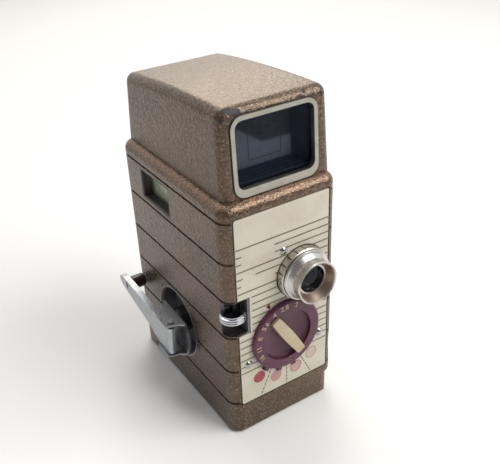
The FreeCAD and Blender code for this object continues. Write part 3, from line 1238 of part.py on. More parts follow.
def gate_plate():
    """Front film gate with its light hole, shutter bearing, claw slot and fixing flange."""
    y = (GATE_Y, GATE_BACK_Y)
    shape = block((SHUTTER_AT[0] - 7.5, FILM_MIDDLE_X + FILM_WIDTH / 2 + 0.6), y, (GATE_LOW_Z, GATE_TOP_Z))
    shape = shape.fuse(block(
        (PLATE_BACK_X, PLATE_BACK_X + 1.0), (GATE_Y + 0.1, GATE_BACK_Y + 7.0), (GATE_LOW_Z, GATE_TOP_Z)))
    tools = [
        block(
            (LENS_X - GATE_WIDTH / 2, LENS_X + GATE_WIDTH / 2), (y[0] - 1, y[1] + 1),
            (LENS_Z - GATE_HEIGHT / 2, LENS_Z + GATE_HEIGHT / 2)),
        rod("y", SHUTTER_AT, y[0] - 1, y[1] + 1, SHUTTER_SHAFT_RADIUS + RUNNING),
        block(
            (CLAW_TOOTH_X - CLAW_TOOTH_WIDTH, CLAW_TOOTH_X + CLAW_TOOTH_WIDTH), (y[0] - 1, y[1] + 1),
            CLAW_SLOT_Z),
    ]
    tools += [
        rod("x", (GATE_SCREW_Y, z), PLATE_BACK_X - 1, PLATE_BACK_X + 2, PLATE_SCREW_SHANK_RADIUS + SEAT)
        for z in GATE_SCREW_Z]
    pins = [
        rod("y", (SHUTTER_AT[0], low + CLAW_PIN_RADIUS + RUNNING), CLAW_Y + RUNNING, GATE_Y + 0.1,
            CLAW_PIN_RADIUS)
        for low in CLAW_SLOT_LOW_Z]
    return shape.cut(Part.makeCompound(tools)).multiFuse(pins)


def pressure_plate():
    """Sprung plate that holds the film to the gate, on two guide pins."""
    y = (PRESSURE_Y, PRESSURE_Y + PRESSURE_THICKNESS)
    shape = block(PRESSURE_SPAN_X, y, (LENS_Z - PRESSURE_LENGTH / 2, LENS_Z + PRESSURE_LENGTH / 2))
    slot = block(
        (PRESSURE_SPAN_X[0] - 1, CLAW_TOOTH_X + CLAW_TOOTH_WIDTH), (y[0] - 1, y[1] + 1), CLAW_SLOT_Z)
    pins = [rod("y", (FILM_MIDDLE_X, z), y[1] - 0.1, GATE_BRACKET_Y + 2.4, 0.8) for z in PRESSURE_PIN_Z]
    return fused(shape.cut(slot), *pins)


def gate_bracket():
    """Bracket on the mechanism plate that carries the pressure plate."""
    z = (LENS_Z - 9.5, LENS_Z + 9.5)
    arm = block((PLATE_BACK_X, FILM_MIDDLE_X + 3.0), (GATE_BRACKET_Y, GATE_BRACKET_Y + 1.0), z)
    foot = block((PLATE_BACK_X, PLATE_BACK_X + 1.0), (GATE_BRACKET_Y, GATE_BRACKET_Y + 5.5), z)
    holes = [rod("y", (FILM_MIDDLE_X, at), GATE_BRACKET_Y - 1, GATE_BRACKET_Y + 2, 0.8 + RUNNING)
             for at in PRESSURE_PIN_Z]
    holes += [
        rod("x", (BRACKET_SCREW_Y, z), PLATE_BACK_X - 1, PLATE_BACK_X + 2, PLATE_SCREW_SHANK_RADIUS + SEAT)
        for z in BRACKET_SCREW_Z]
    return fused(arm, foot).cut(Part.makeCompound(holes))


def gate_spring():
    """Bowed leaf between the bracket and the pressure plate, slotted for the plate's pins."""
    crown = PRESSURE_Y + PRESSURE_THICKNESS + SEAT
    feet = GATE_BRACKET_Y - SEAT
    arcs = []
    for inset in (0.0, LEAF_THICKNESS):
        ends = [vec(0, feet, LENS_Z + side * (LEAF_HALF_LENGTH - inset)) for side in (-1, 1)]
        arcs.append(Part.Arc(ends[0], vec(0, crown + inset, LENS_Z), ends[1]).toShape())
    sides = [
        Part.makeLine(outer.Point, inner.Point) for outer, inner in zip(arcs[0].Vertexes, arcs[1].Vertexes)]
    profile = Part.Face(Part.Wire([arcs[0], sides[1], arcs[1], sides[0]]))
    leaf = profile.extrude(vec(LEAF_WIDTH, 0, 0))
    leaf.translate(vec(FILM_MIDDLE_X - LEAF_WIDTH / 2, 0, 0))
    slots = [rod("y", (FILM_MIDDLE_X, z), crown - 1, feet + 1, LEAF_SLOT_RADIUS) for z in PRESSURE_PIN_Z]
    return leaf.cut(Part.makeCompound(slots))


# Clockwork

def mechanism_plate():
    """Main plate between the clockwork and the film chamber, which carries every shaft."""
    shape = block((PLATE_X, PLATE_BACK_X), (GATE_BACK_Y, INNER_BACK_Y - 0.5), (4.0, BODY_HEIGHT - 4.0))
    bearing = block(
        (SHUTTER_AT[0] - BEARING_HALF, PLATE_X + 0.5), (GATE_BRACKET_Y, GATE_BRACKET_Y + BEARING_LENGTH),
        (SHUTTER_AT[1] - BEARING_HALF, SHUTTER_AT[1] + BEARING_HALF))
    shape = shape.fuse(bearing)
    mitre_half = MITRE_MODULE * (MITRE_TEETH / 2 + 1.5)
    heel_y = DRIVE_SHAFT_Y - MITRE_MODULE * MITRE_TEETH / 2
    tools = [
        block((PLATE_X - 1, PLATE_BACK_X + 1), (-7.5, 7.5), (0, SOCKET_BUSH_HEIGHT + 3.0)),
        block(
            (PLATE_X - 1, PLATE_BACK_X + 1), (heel_y - 1.8, DRIVE_SHAFT_Y - 2.0),
            (SHUTTER_AT[1] - mitre_half, SHUTTER_AT[1] + mitre_half)),
        rod(
            "y", SHUTTER_AT, GATE_BRACKET_Y - 1, GATE_BRACKET_Y + BEARING_LENGTH + 1,
            SHUTTER_SHAFT_RADIUS + RUNNING),
        rod("x", TAKE_UP_AT, PLATE_X - 1, PLATE_BACK_X + 1, SPINDLE_SHAFT_RADIUS + RUNNING),
        rod("x", FEED_AT, PLATE_X - 1, PLATE_BACK_X + 1, SPINDLE_SHAFT_RADIUS + RUNNING),
        rod("x", FEELER_AT, PLATE_X - 1, PLATE_BACK_X + 1, SHAFT_RADIUS + RUNNING),
        rod("x", LEVER_AT, PLATE_X - 1, PLATE_BACK_X + 1, LEVER_SHAFT_RADIUS + RUNNING),
    ]
    for at in (SECOND_AT, THIRD_AT, DRIVE_AT, GOVERNOR_AT, COUNTER_AT):
        tools.append(rod("x", at, PLATE_X - 1, PLATE_BACK_X + 1, PIVOT_RADIUS + RUNNING))
    for at in POST_PLACES + PILLAR_PLACES + BRACKET_POSTS:
        tools.append(rod("x", at, PLATE_X - 1, PLATE_BACK_X + 1, SCREW_RADIUS + SEAT))
    for at in GATE_SCREW_PLACES:
        tools.append(rod("x", at, PLATE_X - 1, PLATE_BACK_X + 1, PLATE_SCREW_SHANK_RADIUS + SEAT))
    return fused(shape.cut(Part.makeCompound(tools)), *guide_posts())


def train_bridge():
    """Outer plate of the clockwork, cut round the barrel, with four riveted pillars."""
    shape = block((BRIDGE_X, BRIDGE_BACK_X), BRIDGE_Y, BRIDGE_Z)
    tools = [rod(
        "x", BARREL_AT, BRIDGE_X - 1, BRIDGE_BACK_X + 1, GEAR_MODULE * (GREAT_TEETH / 2 + 1) + 0.6)]
    for at in (SECOND_AT, THIRD_AT, DRIVE_AT, GOVERNOR_AT):
        tools.append(rod("x", at, BRIDGE_X - 1, BRIDGE_BACK_X + 1, PIVOT_RADIUS + RUNNING))
    for at in (FEELER_AT, COUNTER_AT):
        tools.append(rod("x", at, BRIDGE_X - 1, BRIDGE_BACK_X + 1, SHAFT_RADIUS + RUNNING))
    for at in PILLAR_PLACES:
        tools.append(rod("x", at, BRIDGE_X - 1, PLATE_X + 1, SCREW_RADIUS + SEAT))
    pillars = [rod("x", at, BRIDGE_X + BRIDGE_THICKNESS / 2, PLATE_X, PILLAR_RADIUS) for at in PILLAR_PLACES]
    return fused(shape, *pillars).cut(Part.makeCompound(tools))


def mechanism_screws():
    """Cheese-head screws of the posts, pillars and arbor bracket."""
    screws = []
    for at in POST_PLACES + BRACKET_POSTS:
        screws.append(screw_x(at, PLATE_BACK_X, PLATE_X - 5.5, 1))
    for at in PILLAR_PLACES:
        screws.append(screw_x(at, PLATE_BACK_X, PLATE_X - 4.0, 1))
        screws.append(screw_x(at, BRIDGE_X, BRIDGE_BACK_X + 4.0, -1))
    for at in GATE_SCREW_PLACES:
        screws.append(fused(
            rod("x", at, PLATE_X, PLATE_BACK_X + 1.1, PLATE_SCREW_SHANK_RADIUS),
            rod("x", at, PLATE_BACK_X + 1.0, PLATE_BACK_X + 1.7, 1.4)))
    return Part.makeCompound(screws)


def screw_x(at, seat, tip, side):
    """Screw along X with its slotted head on a seat."""
    shank = rod("x", at, min(tip, seat), max(tip, seat), SCREW_RADIUS)
    top = seat + side * SCREW_HEAD_HEIGHT
    head = rod("x", at, min(seat, top), max(seat, top), SCREW_HEAD_RADIUS)
    slot_x = sorted((top - side * 0.35, top + side))
    slot = block(slot_x, (at[0] - 0.25, at[0] + 0.25), (at[1] - 3, at[1] + 3))
    return fused(shank, head).cut(slot)


def spring_barrel():
    """Mainspring drum with the great wheel round its inner end."""
    wheel_end = GREAT_WHEEL_X + GEAR_THICKNESS
    start = wheel_end - BARREL_LENGTH
    wheel = gear("x", BARREL_AT, GREAT_TEETH, GREAT_WHEEL_X, wheel_end, GREAT_PHASE)
    drum = tube(
        "x", BARREL_AT, start, GREAT_WHEEL_X + 0.1, BARREL_RADIUS, BARREL_RADIUS - BARREL_WALL)
    shape = fused(wheel, drum)
    return shape.cut(rod("x", BARREL_AT, start - 1, wheel_end + 1, ARBOR_RADIUS + RUNNING))


def barrel_cover():
    """Lid pressed into the open end of the drum."""
    start = GREAT_WHEEL_X + GEAR_THICKNESS - BARREL_LENGTH
    return tube(
        "x", BARREL_AT, start, start + 0.8, BARREL_RADIUS - BARREL_WALL - SEAT, ARBOR_RADIUS + RUNNING)


def mainspring():
    """Flat band wound in a spiral inside the drum."""
    start = GREAT_WHEEL_X + GEAR_THICKNESS - BARREL_LENGTH + 1.2
    inner = ARBOR_RADIUS + 0.6
    outer = BARREL_RADIUS - BARREL_WALL - SPRING_BAND - 0.1
    steps = 12 * SPRING_COILS
    edges = []
    for shift in (0.0, SPRING_BAND):
        points = []
        for step in range(steps + 1):
            angle = 2 * math.pi * SPRING_COILS * step / steps
            radius = inner + (outer - inner) * step / steps + shift
            points.append(place("x", start, (
                BARREL_Y + radius * math.cos(angle), BARREL_Z + radius * math.sin(angle))))
        curve = Part.BSplineCurve()
        curve.interpolate(points)
        edges.append(curve.toShape())
    ends = [
        Part.makeLine(edges[0].valueAt(edges[0].FirstParameter), edges[1].valueAt(edges[1].FirstParameter)),
        Part.makeLine(edges[0].valueAt(edges[0].LastParameter), edges[1].valueAt(edges[1].LastParameter)),
    ]
    wire = Part.Wire(Part.__sortEdges__([edges[0], ends[1], edges[1], ends[0]]))
    return solid_of(Part.Face(wire).extrude(vec(GREAT_WHEEL_X - 0.4 - start, 0, 0)))


def second_wheel():
    """Second shaft: pinion on the great wheel, large wheel for the train and the take-up."""
    return fused(
        pinion_shaft(SECOND_AT),
        gear(
            "x", SECOND_AT, SECOND_PINION_TEETH, GREAT_WHEEL_X - PINION_OVERHANG,
            GREAT_WHEEL_X + GEAR_THICKNESS + PINION_OVERHANG, SECOND_PINION_PHASE),
        wheel_rim(
            "x", SECOND_AT, SECOND_WHEEL_TEETH, SECOND_WHEEL_X, SECOND_WHEEL_X + GEAR_THICKNESS,
            SECOND_WHEEL_PHASE, 5))


def third_wheel():
    """Third shaft: pinion on the second wheel, wheel for the drive shaft and the governor."""
    return fused(
        pinion_shaft(THIRD_AT),
        gear(
            "x", THIRD_AT, THIRD_PINION_TEETH, SECOND_WHEEL_X - PINION_OVERHANG,
            SECOND_WHEEL_X + GEAR_THICKNESS + PINION_OVERHANG, THIRD_PINION_PHASE),
        wheel_rim(
            "x", THIRD_AT, THIRD_WHEEL_TEETH, THIRD_WHEEL_X, THIRD_WHEEL_X + GEAR_THICKNESS,
            THIRD_WHEEL_PHASE, 5))


def shutter_drive_shaft():
    """Cross shaft: pinion on the third wheel, stop cam, and mitre gear on the shutter shaft."""
    wheel = mitre("x", DRIVE_AT, SHUTTER_AT[0], -1, DRIVE_PHASE)
    heel_x = SHUTTER_AT[0] - MITRE_MODULE * MITRE_TEETH / 2
    cam_x = (STOP_ARM_X, STOP_ARM_X + LEVER_THICKNESS)
    cam = rod("x", DRIVE_AT, cam_x[0], cam_x[1], STOP_CAM_RADIUS)
    step = block(cam_x, (DRIVE_AT[0], DRIVE_AT[0] + 4), (DRIVE_AT[1] + 1.5, DRIVE_AT[1] + 4))
    return fused(
        pinion_shaft(DRIVE_AT), wheel, cam.cut(step),
        rod("x", DRIVE_AT, heel_x - 0.8, heel_x + 0.2, MITRE_HUB_RADIUS),
        gear(
            "x", DRIVE_AT, DRIVE_PINION_TEETH, THIRD_WHEEL_X - PINION_OVERHANG,
            THIRD_WHEEL_X + GEAR_THICKNESS + PINION_OVERHANG, DRIVE_PHASE))


def governor():
    """Speed governor: pinion, friction disc and two weights on cross arms."""
    disc = tube("x", GOVERNOR_AT, -11.4, -10.6, GOVERNOR_RADIUS, SHAFT_RADIUS - 0.1)
    weights = []
    for side in (-1, 1):
        at = (GOVERNOR_AT[0] + side * 3.6, GOVERNOR_AT[1])
        weights.append(rod("x", at, -2.6, 0.2, 1.9))
    yoke = bar(
        "x", (GOVERNOR_AT[0] - 3.6, GOVERNOR_AT[1]), (GOVERNOR_AT[0] + 3.6, GOVERNOR_AT[1]),
        -3.2, -2.5, 1.9, 1.9)
    return fused(
        pinion_shaft(GOVERNOR_AT), disc, yoke, *weights,
        gear(
            "x", GOVERNOR_AT, GOVERNOR_PINION_TEETH, THIRD_WHEEL_X - PINION_OVERHANG,
            THIRD_WHEEL_X + GEAR_THICKNESS + PINION_OVERHANG, GOVERNOR_PHASE))


def arbor_bracket():
    """Flat bracket with two feet that bears the inner end of the winding arbor."""
    start = GREAT_WHEEL_X + GEAR_THICKNESS + SIDE_PLAY
    end = start + 1.2
    arms = [bar("x", BARREL_AT, at, start, end, 4.2, 3.0) for at in BRACKET_POSTS]
    feet = [rod("x", at, end - 0.1, PLATE_X, 2.4) for at in BRACKET_POSTS]
    tools = [rod("x", at, PLATE_X - 6, PLATE_X + 1, SCREW_RADIUS + SEAT) for at in BRACKET_POSTS]
    tools.append(rod("x", BARREL_AT, start - 1, end + 1, ARBOR_RADIUS - 0.7 + RUNNING))
    return fused(*arms, *feet).cut(Part.makeCompound(tools))


def winding_arbor():
    """Arbor from the crank's yoke through the barrel to its bracket, with a hub in the well."""
    shoulder = GREAT_WHEEL_X + GEAR_THICKNESS
    return fused(
        rod("x", BARREL_AT, YOKE_BASE_X + YOKE_SHEET, WELL_FLOOR_X - SIDE_PLAY, CRANK_HUB_RADIUS),
        rod("x", BARREL_AT, YOKE_BASE_X, shoulder + 0.1, ARBOR_RADIUS),
        rod("x", BARREL_AT, shoulder, shoulder + SIDE_PLAY + 1.8, ARBOR_RADIUS - 0.7))


def ratchet_wheel():
    """Saw-toothed click wheel on the arbor, just inside the well's floor."""
    start = WELL_INNER_X + SIDE_PLAY
    points = []
    for tooth in range(RATCHET_TEETH):
        angle = 2 * math.pi * tooth / RATCHET_TEETH
        for swing, radius in ((0.0, RATCHET_RADIUS - RATCHET_DEPTH), (0.12, RATCHET_RADIUS)):
            turn = angle + swing * 2 * math.pi / RATCHET_TEETH
            points.append((BARREL_Y + radius * math.cos(turn), BARREL_Z + radius * math.sin(turn)))
    shape = plate_of("x", points, start, start + RATCHET_THICKNESS)
    return shape.cut(rod("x", BARREL_AT, start - 1, start + 2, ARBOR_RADIUS + SEAT))


def ratchet_pawl():
    """Click that drops between the ratchet's teeth, on a stud."""
    start = WELL_INNER_X + SIDE_PLAY
    tip_angle = math.radians(112.5)
    tip_radius = RATCHET_RADIUS + 0.75
    tip = (BARREL_Y + tip_radius * math.cos(tip_angle), BARREL_Z + tip_radius * math.sin(tip_angle))
    shape = bar("x", PAWL_AT, tip, start, start + RATCHET_THICKNESS, 1.5, 0.55)
    stud = rod("x", PAWL_AT, WELL_INNER_X - PAWL_STUD_DEPTH, start + RATCHET_THICKNESS, PAWL_STUD_RADIUS)
    return fused(shape, stud)


# Winding crank, built level and then turned to its stowed angle

def crank_turned(shape):
    """Turn a crank piece from level to its stowed angle."""
    shape.rotate(vec(0, BARREL_Y, BARREL_Z), vec(1, 0, 0), CRANK_REST_ANGLE)
    return shape


def crank_yoke():
    """Folded sheet yoke: a base with an arched front edge and two cheeks."""
    z0, z1 = BARREL_Z - YOKE_HALF_HEIGHT, BARREL_Z + YOKE_HALF_HEIGHT
    bend_y = YOKE_FRONT + YOKE_ARC_RISE
    base_x = (YOKE_BASE_X, YOKE_BASE_X + YOKE_SHEET)
    base = block(base_x, (bend_y, YOKE_BACK), (z0, z1))
    radius = (YOKE_HALF_HEIGHT ** 2 + YOKE_ARC_RISE ** 2) / (2 * YOKE_ARC_RISE)
    front = rod("x", (YOKE_FRONT + radius, BARREL_Z), base_x[0], base_x[1], radius)
    front = front.common(block(base_x, (YOKE_FRONT - 1, bend_y + 0.1), (z0, z1)))
    outline = [
        (base_x[1], bend_y), (base_x[1], YOKE_BACK), (YOKE_OUTER_X + 1.5, YOKE_CHEEK_BACK),
        (YOKE_OUTER_X, YOKE_CHEEK_BACK - 2.0), (YOKE_OUTER_X, YOKE_CHEEK_FRONT + 0.5),
        (YOKE_OUTER_X + 0.4, YOKE_CHEEK_FRONT), (YOKE_BASE_X - 2.1, YOKE_CHEEK_FRONT - 1.2)]
    cheeks = [plate_of("z", outline, z, z + YOKE_SHEET) for z in (z0, z1 - YOKE_SHEET)]
    shape = fused(base, front, *cheeks)
    shape = shape.cut(rod("z", (FOLD_PIN_X, FOLD_PIN_Y), z0 - 1, z1 + 1, FOLD_PIN_RADIUS + SEAT))
    shape = shape.cut(rod("x", BARREL_AT, YOKE_BASE_X - 1, YOKE_BASE_X + 2, ARBOR_RADIUS + SEAT))
    return crank_turned(shape)


def crank_fold_pin():
    """Pin that hinges the arm in the yoke, with flat rivet heads."""
    z0, z1 = BARREL_Z - YOKE_HALF_HEIGHT, BARREL_Z + YOKE_HALF_HEIGHT
    at = (FOLD_PIN_X, FOLD_PIN_Y)
    return crank_turned(fused(
        rod("z", at, z0 - RIVET_HEIGHT, z1 + RIVET_HEIGHT, FOLD_PIN_RADIUS),
        rod("z", at, z0 - RIVET_HEIGHT, z0, RIVET_RADIUS),
        rod("z", at, z1, z1 + RIVET_HEIGHT, RIVET_RADIUS)))


def arm_shift(along):
    """How far the arm's middle line has strayed upwards at a distance from its front end."""
    return ARM_SLOPE * max(0.0, along - ARM_SKEW_FROM)


def arm_form(inset, x0, x1):
    """Tapered, slightly skewed arm with a round tip between two planes, drawn in by an inset."""
    front_y = FOLD_PIN_Y - ARM_FRONT
    sides = ([], [])
    for along, half in ARM_STATIONS:
        y = front_y + max(along, inset)
        middle = BARREL_Z + arm_shift(along)
        sides[0].append((y, middle - half + inset))
        sides[1].append((y, middle + half - inset))
    tip_y, tip_half = ARM_STATIONS[-1]
    tip = []
    for step in range(1, 8):
        angle = -math.pi / 2 + step * math.pi / 8
        reach = (ARM_LENGTH + ARM_FRONT - tip_y - inset) * math.cos(angle)
        tip.append((
            front_y + tip_y + reach,
            BARREL_Z + arm_shift(tip_y + reach) + (tip_half - inset) * math.sin(angle)))
    return plate_of("x", sides[0] + tip + sides[1][::-1], x0, x1)


def crank_arm():
    """Folding arm: a shallow channel with a curled front end and two hinge ears."""
    outer_x = FOLD_PIN_X - ARM_WEB_OUT
    edge_x = FOLD_PIN_X + ARM_EDGE_IN
    front_y = FOLD_PIN_Y - ARM_FRONT
    shell = arm_form(0.0, outer_x, edge_x)
    bend = [e for e in shell.Edges
            if e.BoundBox.YMax < front_y + 1e-6 and e.BoundBox.XMax < outer_x + 1e-6]
    shell = shell.makeFillet(ARM_FRONT_BEND, bend)
    hollow = arm_form(ARM_SHEET, outer_x + ARM_SHEET, edge_x + 1)
    shell = shell.cut(hollow)
    ears = []
    ear_half = ARM_STATIONS[1][1]
    for side in (-1, 1):
        z = sorted((BARREL_Z + side * ear_half, BARREL_Z + side * (ear_half - ARM_SHEET)))
        outline = [
            (outer_x, FOLD_PIN_Y + 0.5), (outer_x, FOLD_PIN_Y + 3.0), (edge_x, FOLD_PIN_Y + ARM_EAR_REACH),
            (FOLD_PIN_X + ARM_EAR_IN, FOLD_PIN_Y + 1.8), (FOLD_PIN_X + ARM_EAR_IN, FOLD_PIN_Y - 0.8),
            (FOLD_PIN_X + 0.9, FOLD_PIN_Y - 1.9), (FOLD_PIN_X - 0.9, FOLD_PIN_Y - 1.9)]
        ears.append(plate_of("z", outline, z[0], z[1]))
    shape = fused(shell, *ears)
    ear_hole = rod(
        "z", (FOLD_PIN_X, FOLD_PIN_Y), BARREL_Z - YOKE_HALF_HEIGHT, BARREL_Z + YOKE_HALF_HEIGHT,
        FOLD_PIN_RADIUS + RUNNING)
    knob_hole = rod("x", KNOB_AT, outer_x - 1, edge_x + 1, KNOB_PIN_RADIUS + SEAT)
    return crank_turned(shape.cut(ear_hole).cut(knob_hole))


def crank_knob():
    """Small turning knob between the arm's tip and the body's side."""
    start = FOLD_PIN_X + ARM_EDGE_IN + SIDE_PLAY
    end = -SIDE_X - KNOB_SIDE_GAP
    shape = turned("x", KNOB_AT, [
        (start, KNOB_PIN_RADIUS + RUNNING), (start, KNOB_RADIUS - 0.4), (start + 0.4, KNOB_RADIUS),
        (end - 0.8, KNOB_RADIUS), (end, KNOB_RADIUS - 0.8), (end, 1.9), (end - 0.8, 1.9),
        (end - 0.8, KNOB_PIN_RADIUS + RUNNING)])
    return crank_turned(shape)


def crank_knob_pin():
    """Shouldered pin, riveted in the arm, that carries the knob."""
    outer_x = FOLD_PIN_X - ARM_WEB_OUT
    end = -SIDE_X - KNOB_SIDE_GAP
    return crank_turned(fused(
        rod("x", KNOB_AT, outer_x - 0.3, end - 0.15, KNOB_PIN_RADIUS),
        rod("x", KNOB_AT, outer_x - 0.4, outer_x, KNOB_PIN_COLLAR),
        rod("x", KNOB_AT, outer_x + ARM_SHEET, FOLD_PIN_X + ARM_EDGE_IN, KNOB_PIN_COLLAR),
        rod("x", KNOB_AT, end - 0.65, end - 0.15, KNOB_PIN_COLLAR + 0.1)))


# Film chamber

def spindle(centre, start):
    """Spool spindle with a flange, three drive ribs and a tapered nose."""
    seat_x = PLATE_BACK_X + SIDE_PLAY
    nose = SPOOL_LOW_X + SPOOL_WIDTH - 0.8
    ribs = []
    for index in range(3):
        rib = block((SPOOL_LOW_X, nose - 3), (0, SPINDLE_RADIUS - 0.05), (-0.6, 0.6))
        rib.rotate(vec(0, 0, 0), vec(1, 0, 0), 120 * index)
        rib.translate(vec(0, centre[0], centre[1]))
        ribs.append(rib)
    return fused(
        rod("x", centre, start, seat_x + 0.1, SPINDLE_SHAFT_RADIUS),
        rod("x", centre, seat_x, SPOOL_LOW_X - 0.1, SPINDLE_RADIUS + 1.6),
        rod("x", centre, SPOOL_LOW_X - 0.2, nose - 2, SPINDLE_RADIUS - 1.0),
        cone("x", centre, nose - 2, nose, SPINDLE_RADIUS - 1.0, 1.2), *ribs)


def spool(centre):
    """Empty film spool: two windowed flanges on a hollow core."""
    x0 = SPOOL_LOW_X
    x1 = SPOOL_LOW_X + SPOOL_WIDTH
    core = rod("x", centre, x0, x1, SPOOL_CORE_RADIUS)
    flanges = []
    for start in (x0, x1 - SPOOL_FLANGE):
        flange = rod("x", centre, start, start + SPOOL_FLANGE, SPOOL_RADIUS)
        for index in range(3):
            angle = 2 * math.pi * index / 3 + 0.4
            reach = (SPOOL_RADIUS + SPOOL_CORE_RADIUS) / 2
            at = (centre[0] + reach * math.cos(angle), centre[1] + reach * math.sin(angle))
            flange = flange.cut(rod("x", at, start - 1, start + 2, SPOOL_WINDOW_RADIUS))
        flanges.append(flange)
    return fused(core, *flanges).cut(rod("x", centre, x0 - 1, x1 + 1, SPOOL_BORE))


def take_up_spool():
    """Spool that the exposed film winds onto."""
    return spool(TAKE_UP_AT)


def feed_spool():
    """Spool of fresh film, shown empty."""
    return spool(FEED_AT)


def take_up_shaft():
    """Driven spindle with its wheel on the far side of the mechanism plate."""
    return fused(
        spindle(TAKE_UP_AT, SECOND_WHEEL_X - 0.6),
        wheel_rim(
            "x", TAKE_UP_AT, TAKE_UP_TEETH, SECOND_WHEEL_X, SECOND_WHEEL_X + GEAR_THICKNESS,
            TAKE_UP_PHASE, 5))


def feed_spindle():
    """Free-running spindle of the full spool, with a collar behind the plate."""
    return fused(
        spindle(FEED_AT, PLATE_X - 1.4), rod("x", FEED_AT, PLATE_X - 1.2, PLATE_X - SIDE_PLAY, 2.6))


def guide_posts():
    """Flanged posts that lead the film into and out of the gate."""
    posts = []
    for at in GUIDE_POST_PLACES:
        low = FILM_MIDDLE_X - FILM_WIDTH / 2
        top = FILM_MIDDLE_X + FILM_WIDTH / 2
        posts.append(turned("x", at, [
            (PLATE_BACK_X, 0), (PLATE_BACK_X, GUIDE_POST_RADIUS + 1), (low, GUIDE_POST_RADIUS + 1),
            (low, GUIDE_POST_RADIUS), (top, GUIDE_POST_RADIUS), (top, GUIDE_POST_RADIUS + 1),
            (top + 0.8, GUIDE_POST_RADIUS + 1), (top + 0.8, 0)]))
    return posts


def feeler_angle(reach):
    """Angle of the feeler off the line to the spool when its tip is at a reach from the spool."""
    cosine = (FEELER_TO_SPOOL ** 2 + FEELER_LENGTH ** 2 - reach ** 2) / (
        2 * FEELER_TO_SPOOL * FEELER_LENGTH)
    return math.acos(cosine)


FEELER_REST = feeler_angle(SPOOL_CORE_RADIUS + FEELER_TIP_RADIUS + CLEAR)
FEELER_FULL = feeler_angle(SPOOL_RADIUS - 1.5 + FEELER_TIP_RADIUS)


def feeler_arm():
    """Arm that rests on the film roll, on one shaft with the sector that drives the counter."""
    angle = toward(FEELER_AT, FEED_AT) + FEELER_REST
    tip = (
        FEELER_AT[0] + FEELER_LENGTH * math.cos(angle), FEELER_AT[1] + FEELER_LENGTH * math.sin(angle))
    shaft = rod("x", FEELER_AT, SECTOR_X, FEELER_X + 1.0, SHAFT_RADIUS)
    arm = bar("x", FEELER_AT, tip, FEELER_X, FEELER_X + 1.0, FEELER_WIDTH, FEELER_TIP_RADIUS)
    foot = rod("x", tip, FEELER_X, FEELER_X + 6.0, FEELER_TIP_RADIUS)
    collar = rod("x", FEELER_AT, PLATE_BACK_X + SIDE_PLAY, FEELER_X + 0.1, SHAFT_RADIUS + 0.8)
    return fused(shaft, arm, foot, collar, footage_sector())


def footage_sector():
    """Toothed sector on the feeler's shaft."""
    shape = gear("x", FEELER_AT, SECTOR_TEETH, SECTOR_X, SECTOR_X + GEAR_THICKNESS, SECTOR_PHASE)
    line = toward(FEELER_AT, COUNTER_AT)
    half = math.radians(SECTOR_HALF_ANGLE)
    shift = FEELER_FULL - FEELER_REST
    reach = GEAR_MODULE * SECTOR_TEETH
    points = [FEELER_AT]
    for share in (0.0, 0.25, 0.5, 0.75, 1.0):
        angle = line - shift - half / 3 + share * (shift + 2 * half / 3)
        points.append((FEELER_AT[0] + reach * math.cos(angle), FEELER_AT[1] + reach * math.sin(angle)))
    keep = plate_of("x", points, SECTOR_X - 1, SECTOR_X + GEAR_THICKNESS + 1)
    hub = rod("x", FEELER_AT, SECTOR_X, SECTOR_X + GEAR_THICKNESS, 3.4)
    return fused(shape.common(keep), hub)


def counter_shaft():
    """Shaft of the footage dial with its small gear."""
    return fused(
        rod("x", COUNTER_AT, COUNTER_DIAL_X, PLATE_X - SIDE_PLAY, SHAFT_RADIUS),
        rod("x", COUNTER_AT, PLATE_X - 0.5, PLATE_BACK_X - CLEAR, PIVOT_RADIUS),
        gear(
            "x", COUNTER_AT, COUNTER_GEAR_TEETH, SECTOR_X - PINION_OVERHANG,
            SECTOR_X + GEAR_THICKNESS + PINION_OVERHANG, COUNTER_PHASE))


def counter_dial():
    """Footage dial behind the window."""
    end = COUNTER_DIAL_X + COUNTER_DIAL_THICKNESS
    shape = rod("x", COUNTER_AT, COUNTER_DIAL_X, end, COUNTER_DIAL_RADIUS)
    hub = rod("x", COUNTER_AT, end - 0.1, end + 1.2, 3.0)
    return fused(shape, hub).cut(rod("x", COUNTER_AT, COUNTER_DIAL_X - 1, end + 2, SHAFT_RADIUS + SEAT))


def counter_window():
    """Clear pane of the footage window."""
    return pane_block(0.0)


# Finder on top

def leaned(start, lean, z):
    """Coordinate, at a height, of a hood side that leans in from its place on the ledge."""
    return start + math.tan(math.radians(lean)) * (z - BODY_HEIGHT)


